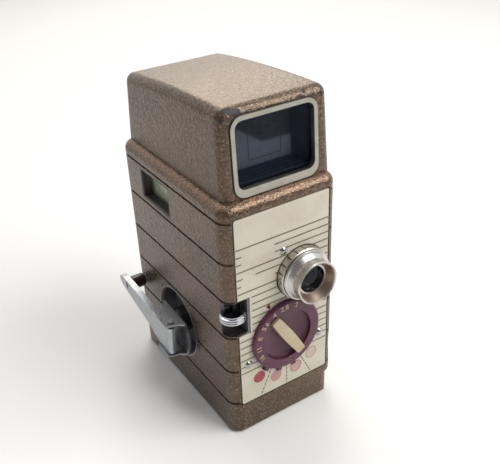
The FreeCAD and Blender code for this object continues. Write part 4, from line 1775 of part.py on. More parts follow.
def hood_form(inset, radius):
    """Finder housing's outer form: side profile met by front profile, edges rounded."""
    low = BODY_HEIGHT - SHOULDER_RADIUS
    top = HOOD_FRONT_TOP_Z - inset
    back_top_z = HOOD_BACK_TOP_Z - inset
    front_low = vec(0, leaned(HOOD_FRONT_Y, HOOD_FRONT_LEAN, low) + inset, low)
    front_top = vec(0, leaned(HOOD_FRONT_Y, HOOD_FRONT_LEAN, top) + inset, top)
    back_top = vec(0, leaned(HOOD_BACK_Y, -HOOD_BACK_LEAN, back_top_z) - inset, back_top_z)
    back_low = vec(0, leaned(HOOD_BACK_Y, -HOOD_BACK_LEAN, low) - inset, low)
    crest = vec(0, HOOD_CREST_Y, HOOD_CREST_Z - inset)
    edges = [
        Part.makeLine(front_low, front_top), Part.Arc(front_top, crest, back_top).toShape(),
        Part.makeLine(back_top, back_low), Part.makeLine(back_low, front_low)]
    profile = Part.Face(Part.Wire(edges))
    profile.translate(vec(-BODY_WIDTH, 0, 0))
    length = profile.extrude(vec(2 * BODY_WIDTH, 0, 0))
    high = HOOD_FRONT_TOP_Z + HOOD_EDGE_RADIUS
    across = plate_of(
        "y", [
            (leaned(HOOD_LEFT_X, HOOD_LEFT_LEAN, low) + inset, low),
            (leaned(HOOD_RIGHT_X, -HOOD_RIGHT_LEAN, low) - inset, low),
            (leaned(HOOD_RIGHT_X, -HOOD_RIGHT_LEAN, high) - inset, high),
            (leaned(HOOD_LEFT_X, HOOD_LEFT_LEAN, high) + inset, high)],
        -BODY_DEPTH, BODY_DEPTH)
    shape = solid_of(length.common(across))
    edges = [e for e in shape.Edges if e.BoundBox.ZMax > low + 1]
    return shape.makeFillet(radius, edges)


def finder_hood():
    """Cast finder housing on the body's ledge, open below, at the front and at the eyepiece."""
    at = (FINDER_X, FINDER_AXIS_Z)
    boss_start = EYEPIECE_SEAT_Y - EYEPIECE_LENGTH / 2
    shape = hood_form(0.0, HOOD_EDGE_RADIUS)
    shape = shape.fuse(rod("y", at, boss_start, EYEPIECE_SEAT_Y, EYEPIECE_RADIUS + EYEPIECE_BOSS))
    shape = shape.cut(hood_form(HOOD_WALL, HOOD_EDGE_RADIUS - HOOD_WALL).cut(
        rod("y", at, boss_start, EYEPIECE_SEAT_Y, EYEPIECE_RADIUS + EYEPIECE_BOSS)))
    grow = FINDER_FRAME_COLLAR
    opening = rounded_window(
        (FINDER_OPEN_X[0] - grow, FINDER_OPEN_X[1] + grow), (HOOD_FRONT_Y - 3, HOOD_FRONT_Y + 8),
        (FINDER_OPEN_Z[0] - grow, FINDER_OPEN_Z[1] + grow), FINDER_OPEN_RADIUS + grow)
    shape = shape.cut(front_tilt(opening)).cut(body_block())
    return shape.cut(rod(
        "y", at, boss_start - 1, EYEPIECE_SEAT_Y + 1, EYEPIECE_RADIUS + EYEPIECE_WALL + SEAT))


def front_tilt(shape):
    """Lean a piece back with the hood's front."""
    shape.rotate(vec(0, HOOD_FRONT_Y, BODY_HEIGHT), vec(1, 0, 0), -HOOD_FRONT_LEAN)
    return shape


def finder_frame():
    """Satin frame round the finder window, let into the hood's front."""
    outer = rounded_window(
        (FINDER_X - FINDER_FRAME_HALF, FINDER_X + FINDER_FRAME_HALF),
        (HOOD_FRONT_Y - FINDER_FRAME_PROUD, HOOD_FRONT_Y),
        (FINDER_FRAME_LOW_Z, FINDER_FRAME_TOP_Z), FINDER_FRAME_RADIUS)
    grow = FINDER_FRAME_COLLAR - SEAT
    collar = rounded_window(
        (FINDER_OPEN_X[0] - grow, FINDER_OPEN_X[1] + grow), (HOOD_FRONT_Y - 0.1, HOOD_FRONT_Y + HOOD_WALL),
        (FINDER_OPEN_Z[0] - grow, FINDER_OPEN_Z[1] + grow), FINDER_OPEN_RADIUS + grow)
    hole = rounded_window(
        FINDER_OPEN_X, (HOOD_FRONT_Y - 5, HOOD_FRONT_Y + 5), FINDER_OPEN_Z, FINDER_OPEN_RADIUS)
    return front_tilt(fused(outer, collar).cut(hole))


def finder_front_glass():
    """Front glass of the finder behind its frame."""
    y = HOOD_FRONT_Y + FINDER_GLASS_SET
    return front_tilt(rounded_window(
        (FINDER_OPEN_X[0] + SEAT, FINDER_OPEN_X[1] - SEAT), (y, y + FINDER_GLASS),
        (FINDER_OPEN_Z[0] + SEAT, FINDER_OPEN_Z[1] - SEAT), FINDER_OPEN_RADIUS))


def finder_sections():
    """Stations of the finder's funnel as (y, half width, low z, top z), front to back."""
    end_half = EYEPIECE_RADIUS + EYEPIECE_BOSS / 2
    return (
        (HOOD_FRONT_Y + FINDER_TUBE_FRONT, FINDER_X - FINDER_OPEN_X[0] + FINDER_TUBE_MARGIN,
         FINDER_OPEN_Z[0] - FINDER_TUBE_MARGIN, FINDER_OPEN_Z[1] + FINDER_TUBE_MARGIN),
        (FINDER_MASK_Y, FINDER_MASK_HALF, FINDER_AXIS_Z - FINDER_MASK_BELOW,
         FINDER_AXIS_Z + FINDER_MASK_ABOVE),
        (EYEPIECE_SEAT_Y - EYEPIECE_LENGTH - CLEAR, end_half, FINDER_AXIS_Z - end_half,
         FINDER_AXIS_Z + end_half),
    )


def finder_tube_solid(inset, extra):
    """Funnel from the window to the mask glass and on to the eyepiece."""
    sections = finder_sections()
    pieces = []
    for first, last in zip(sections, sections[1:]):
        wires = []
        for (y, half, low, top), shift in ((first, -extra), (last, extra)):
            corners = (
                (FINDER_X - half + inset, low + inset), (FINDER_X + half - inset, low + inset),
                (FINDER_X + half - inset, top - inset), (FINDER_X - half + inset, top - inset))
            points = [vec(x, y + shift, z) for x, z in corners]
            wires.append(Part.makePolygon(points + points[:1]))
        pieces.append(solid_of(Part.makeLoft(wires, True, True)))
    return pieces[0].fuse(pieces[1])


def finder_baffle():
    """Dark funnel between the finder's glasses, with stepped ribs on its floor."""
    shape = finder_tube_solid(0.0, 0.0).cut(finder_tube_solid(FINDER_TUBE_WALL, 0.01))
    front, middle = finder_sections()[:2]
    ribs = []
    for index in range(FINDER_RIB_COUNT):
        y = front[0] + FINDER_RIB_PITCH * (index + 0.5)
        share = (y - front[0]) / (middle[0] - front[0])
        floor = front[2] + share * (middle[2] - front[2])
        half = front[1] + share * (middle[1] - front[1]) - FINDER_TUBE_WALL / 2
        ribs.append(block(
            (FINDER_X - half, FINDER_X + half), (y, y + FINDER_RIB),
            (floor + FINDER_TUBE_WALL / 2, floor + 2 * FINDER_TUBE_WALL)))
    return shape.multiFuse(ribs)


def finder_mask_glass():
    """Inner glass with the engraved picture outline."""
    slab = block(
        (FINDER_X - FINDER_MASK_HALF, FINDER_X + FINDER_MASK_HALF),
        (FINDER_MASK_Y - FINDER_MASK_GLASS / 2, FINDER_MASK_Y + FINDER_MASK_GLASS / 2),
        (FINDER_AXIS_Z - FINDER_MASK_BELOW, FINDER_AXIS_Z + FINDER_MASK_ABOVE))
    return slab.common(finder_tube_solid(FINDER_TUBE_WALL + SEAT, 0.0))


def eyepiece_bezel():
    """Round eyepiece mount through the hood's back."""
    start = EYEPIECE_SEAT_Y - EYEPIECE_LENGTH
    end = EYEPIECE_SEAT_Y + EYEPIECE_PROUD
    rim = EYEPIECE_RADIUS + EYEPIECE_FLANGE
    return turned("y", (FINDER_X, FINDER_AXIS_Z), [
        (start, EYEPIECE_RADIUS), (start, EYEPIECE_RADIUS + EYEPIECE_WALL),
        (EYEPIECE_SEAT_Y, EYEPIECE_RADIUS + EYEPIECE_WALL), (EYEPIECE_SEAT_Y, rim),
        (end - 0.6, rim), (end, rim - 0.8), (end, EYEPIECE_RADIUS + 0.6),
        (EYEPIECE_SEAT_Y + 0.5, EYEPIECE_RADIUS)])


def eyepiece_glass():
    """Eyepiece lens."""
    return rod(
        "y", (FINDER_X, FINDER_AXIS_Z), EYEPIECE_SEAT_Y - 3.5, EYEPIECE_SEAT_Y - 1.5, EYEPIECE_RADIUS - SEAT)


PIECES = {
    "main_casing": main_casing,
    "film_door": film_door,
    "door_hinge_pin": door_hinge_pin,
    "door_latch_knob": door_latch_knob,
    "door_latch_tongue": door_latch_tongue,
    "tripod_socket": tripod_socket,
    "face_plate": face_plate,
    "face_plate_screws": face_plate_screws,
    "release_button": release_button,
    "release_slide": release_slide,
    "release_spring": release_spring,
    "release_lever": release_lever,
    "lens_mount": lens_mount,
    "focus_sleeve": focus_sleeve,
    "lens_front_glass": lens_front_glass,
    "lens_rear_glass": lens_rear_glass,
    "exposure_dial": exposure_dial,
    "exposure_bar": exposure_bar,
    "exposure_shaft": exposure_shaft,
    "aperture_disc": aperture_disc,
    "shutter": shutter,
    "claw": claw,
    "gate_plate": gate_plate,
    "pressure_plate": pressure_plate,
    "gate_bracket": gate_bracket,
    "gate_spring": gate_spring,
    "mechanism_plate": mechanism_plate,
    "train_bridge": train_bridge,
    "mechanism_screws": mechanism_screws,
    "spring_barrel": spring_barrel,
    "barrel_cover": barrel_cover,
    "mainspring": mainspring,
    "second_wheel": second_wheel,
    "third_wheel": third_wheel,
    "shutter_drive_shaft": shutter_drive_shaft,
    "governor": governor,
    "arbor_bracket": arbor_bracket,
    "winding_arbor": winding_arbor,
    "ratchet_wheel": ratchet_wheel,
    "ratchet_pawl": ratchet_pawl,
    "crank_yoke": crank_yoke,
    "crank_fold_pin": crank_fold_pin,
    "crank_arm": crank_arm,
    "crank_knob": crank_knob,
    "crank_knob_pin": crank_knob_pin,
    "take_up_shaft": take_up_shaft,
    "take_up_spool": take_up_spool,
    "feed_spindle": feed_spindle,
    "feed_spool": feed_spool,
    "feeler_arm": feeler_arm,
    "counter_shaft": counter_shaft,
    "counter_dial": counter_dial,
    "counter_window": counter_window,
    "finder_hood": finder_hood,
    "finder_frame": finder_frame,
    "finder_front_glass": finder_front_glass,
    "finder_baffle": finder_baffle,
    "finder_mask_glass": finder_mask_glass,
    "eyepiece_bezel": eyepiece_bezel,
    "eyepiece_glass": eyepiece_glass,
}


def main():
    """Build every piece and write one file for each."""
    os.makedirs("parts", exist_ok=True)
    for name, make in PIECES.items():
        shape = make()
        shape.exportStep("parts/" + name + ".step")
        print(name, len(shape.Solids), shape.isValid(), round(shape.Volume, 2))


if __name__ == "__main__":
    main()
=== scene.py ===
"""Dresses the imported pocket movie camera: finishes, printed marks, engraved scales, stage and view.

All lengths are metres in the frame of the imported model, in which -Y is out of the lens, +X is the
side of the film door and +Z is up. The origin is the mouth of the tripod socket.
"""

import logging
import math
from dataclasses import dataclass
from enum import Enum
from typing import Iterable

import bmesh
import bpy
from mathutils import Euler, Matrix, Vector


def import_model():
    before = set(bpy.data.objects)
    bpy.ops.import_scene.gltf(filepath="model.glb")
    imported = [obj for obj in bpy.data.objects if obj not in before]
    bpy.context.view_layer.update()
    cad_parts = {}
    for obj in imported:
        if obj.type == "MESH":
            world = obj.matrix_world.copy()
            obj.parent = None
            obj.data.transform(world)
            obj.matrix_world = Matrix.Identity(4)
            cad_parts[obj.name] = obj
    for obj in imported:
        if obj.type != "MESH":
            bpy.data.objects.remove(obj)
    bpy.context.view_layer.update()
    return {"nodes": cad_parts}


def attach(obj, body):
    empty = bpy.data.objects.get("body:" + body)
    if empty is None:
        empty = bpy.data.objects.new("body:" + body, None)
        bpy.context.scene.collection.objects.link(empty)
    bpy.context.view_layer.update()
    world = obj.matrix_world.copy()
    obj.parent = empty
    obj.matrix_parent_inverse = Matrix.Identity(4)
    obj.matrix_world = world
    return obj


LOG = logging.getLogger("movie_camera")
MM = 0.001

Colour = tuple[float, float, float]
Point = tuple[float, float, float]
Span = tuple[float, float]
Ramp = tuple[float, float, float, float]
Material = bpy.types.Material
Socket = bpy.types.NodeSocket
Value = Socket | float
Inputs = dict[str | int, object]
Vert = bmesh.types.BMVert


def mm(*lengths: float) -> tuple[float, ...]:
    """Returns lengths given in millimetres as metres."""
    return tuple(length * MM for length in lengths)


def shaded(colour: Colour, share: float) -> Colour:
    """Returns a colour cut down to a share of its light."""
    return tuple(share * part for part in colour)


CRANK_CENTRE: Point = mm(0.0, 3.3, 34.25)
DIAL_X_Z: Span = mm(0.0, 44.9)
LENS_X_Z: Span = mm(8.3, 72.85)


class Axis(Enum):
    """Axis along which a surface was drawn, or about which it was turned."""

    X = 0
    Y = 1
    Z = 2

    def scaled(self, share: float) -> Point:
        """Returns a scale that multiplies lengths along this axis only."""
        return tuple(share if index == self.value else 1.0 for index in range(3))


class Grain(Enum):
    """Mark that the making of a metal piece left on it."""

    CAST = "cast"
    DRAWN = "drawn"
    TURNED = "turned"


class Nodes:
    """Short calls that build the nodes of a material or of the world."""

    def __init__(self, owner: Material | bpy.types.World) -> None:
        """Starts with an empty tree.

        Args:
            owner: the material or the world.
        """
        owner.use_nodes = True
        self.tree = owner.node_tree
        self.tree.nodes.clear()

    def fill(self, node: bpy.types.Node, inputs: Inputs) -> None:
        """Links or sets a node's inputs.

        Args:
            node: the node.
            inputs: socket or value for each named or numbered input.
        """
        for key, value in inputs.items():
            if isinstance(value, Socket):
                self.tree.links.new(value, node.inputs[key])
            else:
                node.inputs[key].default_value = value

    def add(self, kind: str, inputs: Inputs, **settings: object) -> bpy.types.Node:
        """Adds a node.

        Args:
            kind: Blender's name of the node type.
            inputs: socket or value for each named or numbered input.
            **settings: attributes set on the node before its inputs.

        Returns:
            The new node.
        """
        node = self.tree.nodes.new(kind)
        for key, value in settings.items():
            setattr(node, key, value)
        self.fill(node, inputs)
        return node

    def calc(self, operation: str, first: Value, second: Value) -> Socket:
        """Returns a Math node's result for two values."""
        return self.add("ShaderNodeMath", {0: first, 1: second}, operation=operation).outputs[0]

    def spread(
            self, value: Socket, low: float, high: float, start: float = 0.0,
            end: float = 1.0) -> Socket:
        """Maps a value's range from low..high to start..end, held at both ends."""
        inputs = {"Value": value, "From Min": low, "From Max": high, "To Min": start, "To Max": end}
        return self.add("ShaderNodeMapRange", inputs).outputs[0]

    def mix(self, share: Socket, first: Value, second: Value) -> Socket:
        """Returns a number that goes from the first to the second as the share goes from 0 to 1."""
        return self.add("ShaderNodeMix", {0: share, 2: first, 3: second}).outputs[0]


class Graph(Nodes):
    """One material's nodes, laid out on Object coordinates."""

    CELL_SMOOTHNESS = 0.6

    def __init__(self, name: str) -> None:
        """Starts a material whose output is one Principled shader.

        Args:
            name: name of the new material.
        """
        self.material = bpy.data.materials.new(name)
        super().__init__(self.material)
        self.shader = self.add("ShaderNodeBsdfPrincipled", {})
        self.add("ShaderNodeOutputMaterial", {"Surface": self.shader.outputs[0]})
        self.place = self.add("ShaderNodeTexCoord", {}).outputs["Object"]

    def vector(
            self, operation: str, first: Socket, second: Socket | Point = (0.0, 0.0, 0.0)) -> Socket:
        """Returns a Vector Math node's vector for one or two vectors."""
        node = self.add("ShaderNodeVectorMath", {0: first, 1: second}, operation=operation)
        return node.outputs["Vector"]

    def length(self, offset: Socket) -> Socket:
        """Returns a vector's length."""
        return self.add("ShaderNodeVectorMath", {0: offset}, operation="LENGTH").outputs["Value"]

    def along(self, axis: Axis) -> Socket:
        """Returns the coordinate along an axis."""
        return self.add("ShaderNodeSeparateXYZ", {0: self.place}).outputs[axis.value]

    def noise(self, size: float, detail: float, at: Socket | None = None) -> Socket:
        """Returns noise with features of about the given size, and with detail in finer octaves."""
        inputs = {"Vector": at or self.place, "Scale": 1.0 / size, "Detail": detail}
        return self.add("ShaderNodeTexNoise", inputs).outputs[0]

    def cells(self, size: float, at: Socket) -> Socket:
        """Returns the distance to the nearest smooth cell centre, for cells of the given size."""
        inputs = {"Vector": at, "Scale": 1.0 / size, "Smoothness": self.CELL_SMOOTHNESS}
        return self.add("ShaderNodeTexVoronoi", inputs, feature="SMOOTH_F1").outputs["Distance"]

    def blend(self, share: Socket, first: Socket | Colour, second: Socket | Colour) -> Socket:
        """Returns a colour that goes from the first to the second as the share goes from 0 to 1."""
        low, high = (c if isinstance(c, Socket) else (*c, 1.0) for c in (first, second))
        return self.add("ShaderNodeMix", {0: share, 6: low, 7: high}, data_type="RGBA").outputs[2]

    def bump(self, height: Socket, depth: float) -> Socket:
        """Returns a normal bent by a height from 0 to 1, where 1 stands for the depth in metres."""
        return self.add("ShaderNodeBump", {"Height": height, "Distance": depth, "Strength": 1.0}).outputs[0]

    def reach(self, centre: Point, scale: Point) -> Socket:
        """Returns the distance from a point, with each axis stretched by its scale."""
        offset = self.vector("SUBTRACT", self.place, centre)
        return self.length(self.vector("MULTIPLY", offset, scale))

    def finish(self, **inputs: object) -> Material:
        """Fills the shader's inputs, with underscores for spaces, and returns the material."""
        self.fill(self.shader, {key.replace("_", " "): value for key, value in inputs.items()})
        return self.material


@dataclass(frozen=True)
class Chip:
    """A spot where the paint is knocked off down to the metal."""

    centre: Point
    radius: float
    stretch: Point = (1.0, 1.0, 1.0)


@dataclass(frozen=True)
class Zone:
    """A box with round edges in which a piece has another finish."""

    low: Point
    high: Point
    colour: Colour = (0.012, 0.012, 0.014)
    metal: float = 0.0
    rough: float = 0.62
    relief: float = 0.12
    rounding: float = 0.3 * MM

    def mask(self, g: Graph) -> Socket:
        """Returns 1 where the finish lies, and 0 elsewhere.

        Args:
            g: the graph that the nodes are added to.

        Returns:
            The mask's socket.
        """
        middle = tuple((a + b) / 2 for a, b in zip(self.low, self.high))
        core = tuple((b - a) / 2 - self.rounding for a, b in zip(self.low, self.high))
        size = g.vector("ABSOLUTE", g.vector("SUBTRACT", g.place, middle))
        past = g.vector("MAXIMUM", g.vector("SUBTRACT", size, core))
        return g.calc("LESS_THAN", g.length(past), self.rounding)


@dataclass(frozen=True)
class Band:
    """A round space about an axis, between two radii and two planes, with another finish.

    The span holds the planes' coordinates along the axis.
    """

    axis: Axis
    centre: Point
    radii: Span
    span: Span
    colour: Colour
    metal: float = 0.0
    rough: float = 0.5
    relief: float = 0.12

    def mask(self, g: Graph) -> Socket:
        """Returns 1 where the finish lies, and 0 elsewhere.

        Args:
            g: the graph that the nodes are added to.

        Returns:
            The mask's socket.
        """
        radius = g.reach(self.centre, self.axis.scaled(0.0))
        share: Value = 1.0
        for value, (low, high) in ((radius, self.radii), (g.along(self.axis), self.span)):
            share = g.calc("MULTIPLY", g.calc("GREATER_THAN", value, low), share)
            share = g.calc("MULTIPLY", g.calc("LESS_THAN", value, high), share)
        return share


@dataclass(frozen=True)
class HammeredPaint:
    """Bronze hammered paint: small glossy dimples full of metal flake, with dark hollows.

    Fields named size are shares of the dimples' cell. Ramps map a range of noise to a range of values.
    """

    name: str
    dark: Colour = (0.066, 0.046, 0.032)
    light: Colour = (0.255, 0.186, 0.122)
    warm: Colour = (0.16, 0.1, 0.072)
    # Lighter copper for the shoulder's crest: partly rubbed paint, partly a painted highlight.
    copper: Colour = (0.3, 0.185, 0.118)
    bare: Colour = (0.022, 0.024, 0.028)
    burr: Colour = (0.012, 0.011, 0.011)
    crest: Span = (0.0, 0.0)
    cell: float = 1.25 * MM
    depth: float = 0.2 * MM
    sway_size: float = 2.4
    sway: float = 0.8
    crumb_size: float = 0.5
    crumb_relief: float = 0.6
    flake_size: float = 0.35
    patch_size: float = 14.0
    ragged_size: float = 0.7
    ragged: float = 1.5
    crumb_ramp: Span = (0.36, 0.66)
    hollow_ramp: Ramp = (0.28, 0.55, 0.0, 0.75)
    warm_ramp: Ramp = (0.35, 0.75, 0.0, 0.6)
    worn_share: float = 0.9
    worn_ramp: Span = (0.36, 0.6)
    metal_ramp: Ramp = (0.35, 0.65, 0.4, 0.85)
    rough_ramp: Ramp = (0.3, 0.7, 0.38, 0.22)
    burr_ramp: Ramp = (1.0, 1.16, 1.0, 0.0)
    bare_metal: float = 0.2
    bare_rough: float = 0.6
    coat: float = 0.08
    coat_rough: float = 0.16
    chips: tuple[Chip, ...] = ()
    zones: tuple[Zone | Band, ...] = ()

    def make(self) -> Material:
        """Returns the paint's material."""
        g = Graph(self.name)
        wander = g.add(
            "ShaderNodeTexNoise",
            {"Vector": g.place, "Scale": 1.0 / (self.sway_size * self.cell), "Detail": 1.0})
        shift = g.add(
            "ShaderNodeVectorMath", {0: wander.outputs["Color"], "Scale": self.sway * self.cell},
            operation="SCALE")
        dimple = g.cells(self.cell, g.vector("ADD", g.place, shift.outputs["Vector"]))
        crumb = g.noise(self.crumb_size * self.cell, 3.0)
        flake = g.noise(self.flake_size * self.cell, 1.0)
        patch = g.noise(self.patch_size * self.cell, 3.0)
        tone = g.blend(g.spread(crumb, *self.crumb_ramp), self.dark, self.light)
        tone = g.blend(g.spread(dimple, *self.hollow_ramp), tone, self.dark)
        tone = g.blend(g.spread(patch, *self.warm_ramp), tone, self.warm)
        # Painted highlight and wear: in patches along the shoulder's crest the tone turns a lighter copper,
        # partly rubbed paint and partly a painted highlight where the rounded edge faces the lamps.
        if self.crest[1] > self.crest[0]:
            rise = g.spread(g.along(Axis.Z), *self.crest, 0.0, self.worn_share)
            tone = g.blend(
                g.calc("MULTIPLY", rise, g.spread(crumb, *self.worn_ramp)), tone, self.copper)
        metal = g.spread(flake, *self.metal_ramp)
        rough = g.spread(flake, *self.rough_ramp)
        height = g.calc("ADD", dimple, g.calc("MULTIPLY", crumb, self.crumb_relief))
        for zone in self.zones:
            share = zone.mask(g)
            tone = g.blend(share, tone, zone.colour)
            metal = g.mix(share, metal, zone.metal)
            rough = g.mix(share, rough, zone.rough)
            height = g.mix(share, height, g.calc("MULTIPLY", crumb, zone.relief))
        edge = g.calc("SUBTRACT", g.noise(self.ragged_size * self.cell, 2.0), 0.5)
        for chip in self.chips:
            gap = g.calc("DIVIDE", g.reach(chip.centre, chip.stretch), chip.radius)
            outline = g.calc("ADD", gap, g.calc("MULTIPLY", edge, self.ragged))
            share = g.calc("LESS_THAN", outline, 1.0)
            burr = g.spread(outline, *self.burr_ramp)
            tone = g.blend(share, g.blend(burr, tone, self.burr), self.bare)
            metal = g.mix(share, metal, self.bare_metal)
            rough = g.mix(share, rough, self.bare_rough)
            height = g.mix(burr, height, 0.0)
        return g.finish(
            Base_Color=tone, Metallic=metal, Roughness=rough, Normal=g.bump(height, self.depth),
            Coat_Weight=self.coat, Coat_Roughness=self.coat_rough)


@dataclass(frozen=True)
class Enamel:
    """Smooth paint, plastic or card with faint mottling, dirt and orange peel."""

    name: str
    colour: Colour
    aged: Colour
    roughness: float = 0.35
    coat: float = 0.0
    peel: float = 0.004 * MM
    patch: float = 5.0 * MM
    speck: float = 0.0
    shine: float = 0.5
    coat_rough: float = 0.08
    dirt_shade: float = 0.25
    dirt_size: float = 0.9 * MM
    dirt_ramp: Span = (0.62, 0.74)
    peel_size: float = 0.35 * MM
    aged_ramp: Span = (0.35, 0.72)
    rough_ramp: Ramp = (0.3, 0.7, -0.05, 0.09)

    def make(self) -> Material:
        """Returns the enamel's material."""
        g = Graph(self.name)
        cloud = g.noise(self.patch, 4.0)
        fine = g.noise(self.peel_size, 3.0)
        tone = g.blend(g.spread(cloud, *self.aged_ramp), self.colour, self.aged)
        dirt = g.spread(g.noise(self.dirt_size, 5.0), *self.dirt_ramp, 0.0, self.speck)
        tone = g.blend(dirt, tone, shaded(self.aged, self.dirt_shade))
        rough = g.calc("ADD", g.spread(cloud, *self.rough_ramp), self.roughness)
        return g.finish(
            Base_Color=tone, Roughness=rough, Normal=g.bump(fine, self.peel),
            Coat_Weight=self.coat, Coat_Roughness=self.coat_rough, Specular_IOR_Level=self.shine)


@dataclass(frozen=True)
class Ink:
    """Printed or filled mark, worn through in spots to what lies under it."""

    name: str
    colour: Colour
    under: Colour
    worn: float = 0.2
    roughness: float = 0.45
    polish: float = 0.1
    relief: float = 0.004 * MM
    wear_size: float = 0.5 * MM
    wear_from: Span = (0.68, 0.25)
    wear_to: Span = (0.76, 0.2)
    shade: float = 0.72
    shade_size: float = 2.5 * MM
    shade_ramp: Ramp = (0.3, 0.7, 0.0, 0.35)

    def make(self) -> Material:
        """Returns the ink's material."""
        g = Graph(self.name)
        start, end = (level - share * self.worn for level, share in (self.wear_from, self.wear_to))
        wear = g.spread(g.noise(self.wear_size, 4.0), start, end)
        shade = g.spread(g.noise(self.shade_size, 2.0), *self.shade_ramp)
        tone = g.blend(shade, self.colour, shaded(self.colour, self.shade))
        tone = g.blend(wear, tone, self.under)
        rough = g.spread(wear, 0.0, 1.0, self.roughness, self.roughness - self.polish)
        return g.finish(Base_Color=tone, Roughness=rough, Normal=g.bump(wear, self.relief))


@dataclass(frozen=True)
class Metal:
    """Bare or plated metal with its tool marks, tarnish and small scratches."""

    name: str
    colour: Colour
    tarnish: Colour
    roughness: float
    grain: Grain = Grain.CAST
    axis: Axis = Axis.X
    centre: Point = (0.0, 0.0, 0.0)
    marks: float = 0.0025 * MM
    pitch: float = 0.16 * MM
    scuffs: float = 0.25
    zones: tuple[Zone | Band, ...] = ()
    drawn_stretch: float = 0.03
    cloud_size: float = 4.0 * MM
    cloud_ramp: Ramp = (0.38, 0.75, 0.0, 0.8)
    scuff_size: float = 1.1 * MM
    scuff_ramp: Span = (0.6, 0.72)
    scuff_shade: float = 0.45
    scuff_rough: float = 0.35
    rough_ramp: Ramp = (0.3, 0.7, 0.8, 1.3)

    def make(self) -> Material:
        """Returns the metal's material."""
        g = Graph(self.name)
        lines = g.noise(self.pitch, 2.0, self._tool_path(g))
        cloud = g.noise(self.cloud_size, 4.0)
        scuff = g.spread(g.noise(self.scuff_size, 6.0), *self.scuff_ramp, 0.0, self.scuffs)
        tone = g.blend(g.spread(cloud, *self.cloud_ramp), self.colour, self.tarnish)
        tone = g.blend(scuff, tone, shaded(self.tarnish, self.scuff_shade))
        rough = g.calc("MULTIPLY", g.spread(lines, *self.rough_ramp), self.roughness)
        rough = g.calc("ADD", rough, g.calc("MULTIPLY", scuff, self.scuff_rough))
        metal: Value = 1.0
        for zone in self.zones:
            share = zone.mask(g)
            tone = g.blend(share, tone, zone.colour)
            metal = g.mix(share, metal, zone.metal)
            rough = g.mix(share, rough, zone.rough)
        return g.finish(
            Base_Color=tone, Metallic=metal, Roughness=rough, Normal=g.bump(lines, self.marks))

    def _tool_path(self, g: Graph) -> Socket:
        """Returns coordinates that run along the tool's path.

        Args:
            g: the graph that the nodes are added to.

        Returns:
            The coordinates' socket.
        """
        if self.grain is Grain.CAST:
            return g.place
        if self.grain is Grain.DRAWN:
            return g.vector("MULTIPLY", g.place, self.axis.scaled(self.drawn_stretch))
        radius = g.reach(self.centre, self.axis.scaled(0.0))
        return g.add("ShaderNodeCombineXYZ", {0: radius, 1: g.along(self.axis), 2: 0.0}).outputs[0]


@dataclass(frozen=True)
class Glass:
    """Clear or smoky glass or plastic with a trace of dust, thin enough to let the lamps through."""

    name: str
    colour: Colour
    alpha: float
    roughness: float = 0.02
    ior: float = 1.5
    dust: float = 0.1
    dust_tone: Colour = (0.6, 0.6, 0.58)
    dust_alpha: float = 0.3
    dust_size: float = 3.0 * MM
    dust_ramp: Span = (0.45, 0.8)
    wave_size: float = 9.0 * MM
    wave: float = 0.01 * MM

    def make(self) -> Material:
        """Returns the glass's material."""
        g = Graph(self.name)
        haze = g.spread(g.noise(self.dust_size, 6.0), *self.dust_ramp, 0.0, self.dust)
        return g.finish(
            Base_Color=g.blend(haze, self.colour, self.dust_tone),
            Roughness=g.calc("ADD", haze, self.roughness), Transmission_Weight=1.0, IOR=self.ior,
            Alpha=g.calc("ADD", self.alpha, g.calc("MULTIPLY", haze, self.dust_alpha)),
            Normal=g.bump(g.noise(self.wave_size, 1.0), self.wave))


@dataclass(frozen=True)
class MaskGlass:
    """Inner finder glass: grey where light falls on it, dark in the shade of the tunnel's roof."""

    name: str
    lit: Colour = (0.058, 0.07, 0.09)
    shade: Colour = (0.006, 0.01, 0.018)
    middle_x: float = 0.1 * MM
    low_z: float = 127.3 * MM
    rise: float = 0.69
    blur: float = 0.7 * MM
    dust_tone: Colour = (0.1, 0.11, 0.12)
    dust_size: float = 0.8 * MM
    dust_ramp: Ramp = (0.62, 0.75, 0.0, 0.1)
    rough_size: float = 3.0 * MM
    rough_ramp: Ramp = (0.3, 0.7, 0.25, 0.35)
    shine: float = 0.15

    def make(self) -> Material:
        """Returns the glass's material."""
        g = Graph(self.name)
        side = g.calc("MAXIMUM", g.calc("SUBTRACT", self.middle_x, g.along(Axis.X)), 0.0)
        roof = g.calc("ADD", g.calc("MULTIPLY", side, self.rise), self.low_z)
        under = g.spread(g.calc("SUBTRACT", roof, g.along(Axis.Z)), -self.blur, self.blur)
        tone = g.blend(under, self.shade, self.lit)
        dust = g.spread(g.noise(self.dust_size, 5.0), *self.dust_ramp)
        rough = g.spread(g.noise(self.rough_size, 3.0), *self.rough_ramp)
        return g.finish(
            Base_Color=g.blend(dust, tone, self.dust_tone), Roughness=rough,
            Specular_IOR_Level=self.shine)


Finish = HammeredPaint | Enamel | Ink | Metal | Glass | MaskGlass
Coats = tuple[tuple[str, Finish], ...]


def add_object(name: str, data: bpy.types.ID) -> bpy.types.Object:
    """Adds an object with the given mesh, light or camera to the scene.

    Args:
        name: name of the object.
        data: what it shows.

    Returns:
        The new object.
    """
    piece = bpy.data.objects.new(name, data)
    bpy.context.scene.collection.objects.link(piece)
    return piece


def dial_seat(centre: Point, up: Vector, out: Vector, radius: float) -> Matrix:
    """Returns the place of a mark that lies at a radius up from a dial's centre and faces out."""
    turn = Matrix((up.cross(out), up, out)).transposed().to_4x4()
    return Matrix.Translation(Vector(centre) + up * radius) @ turn


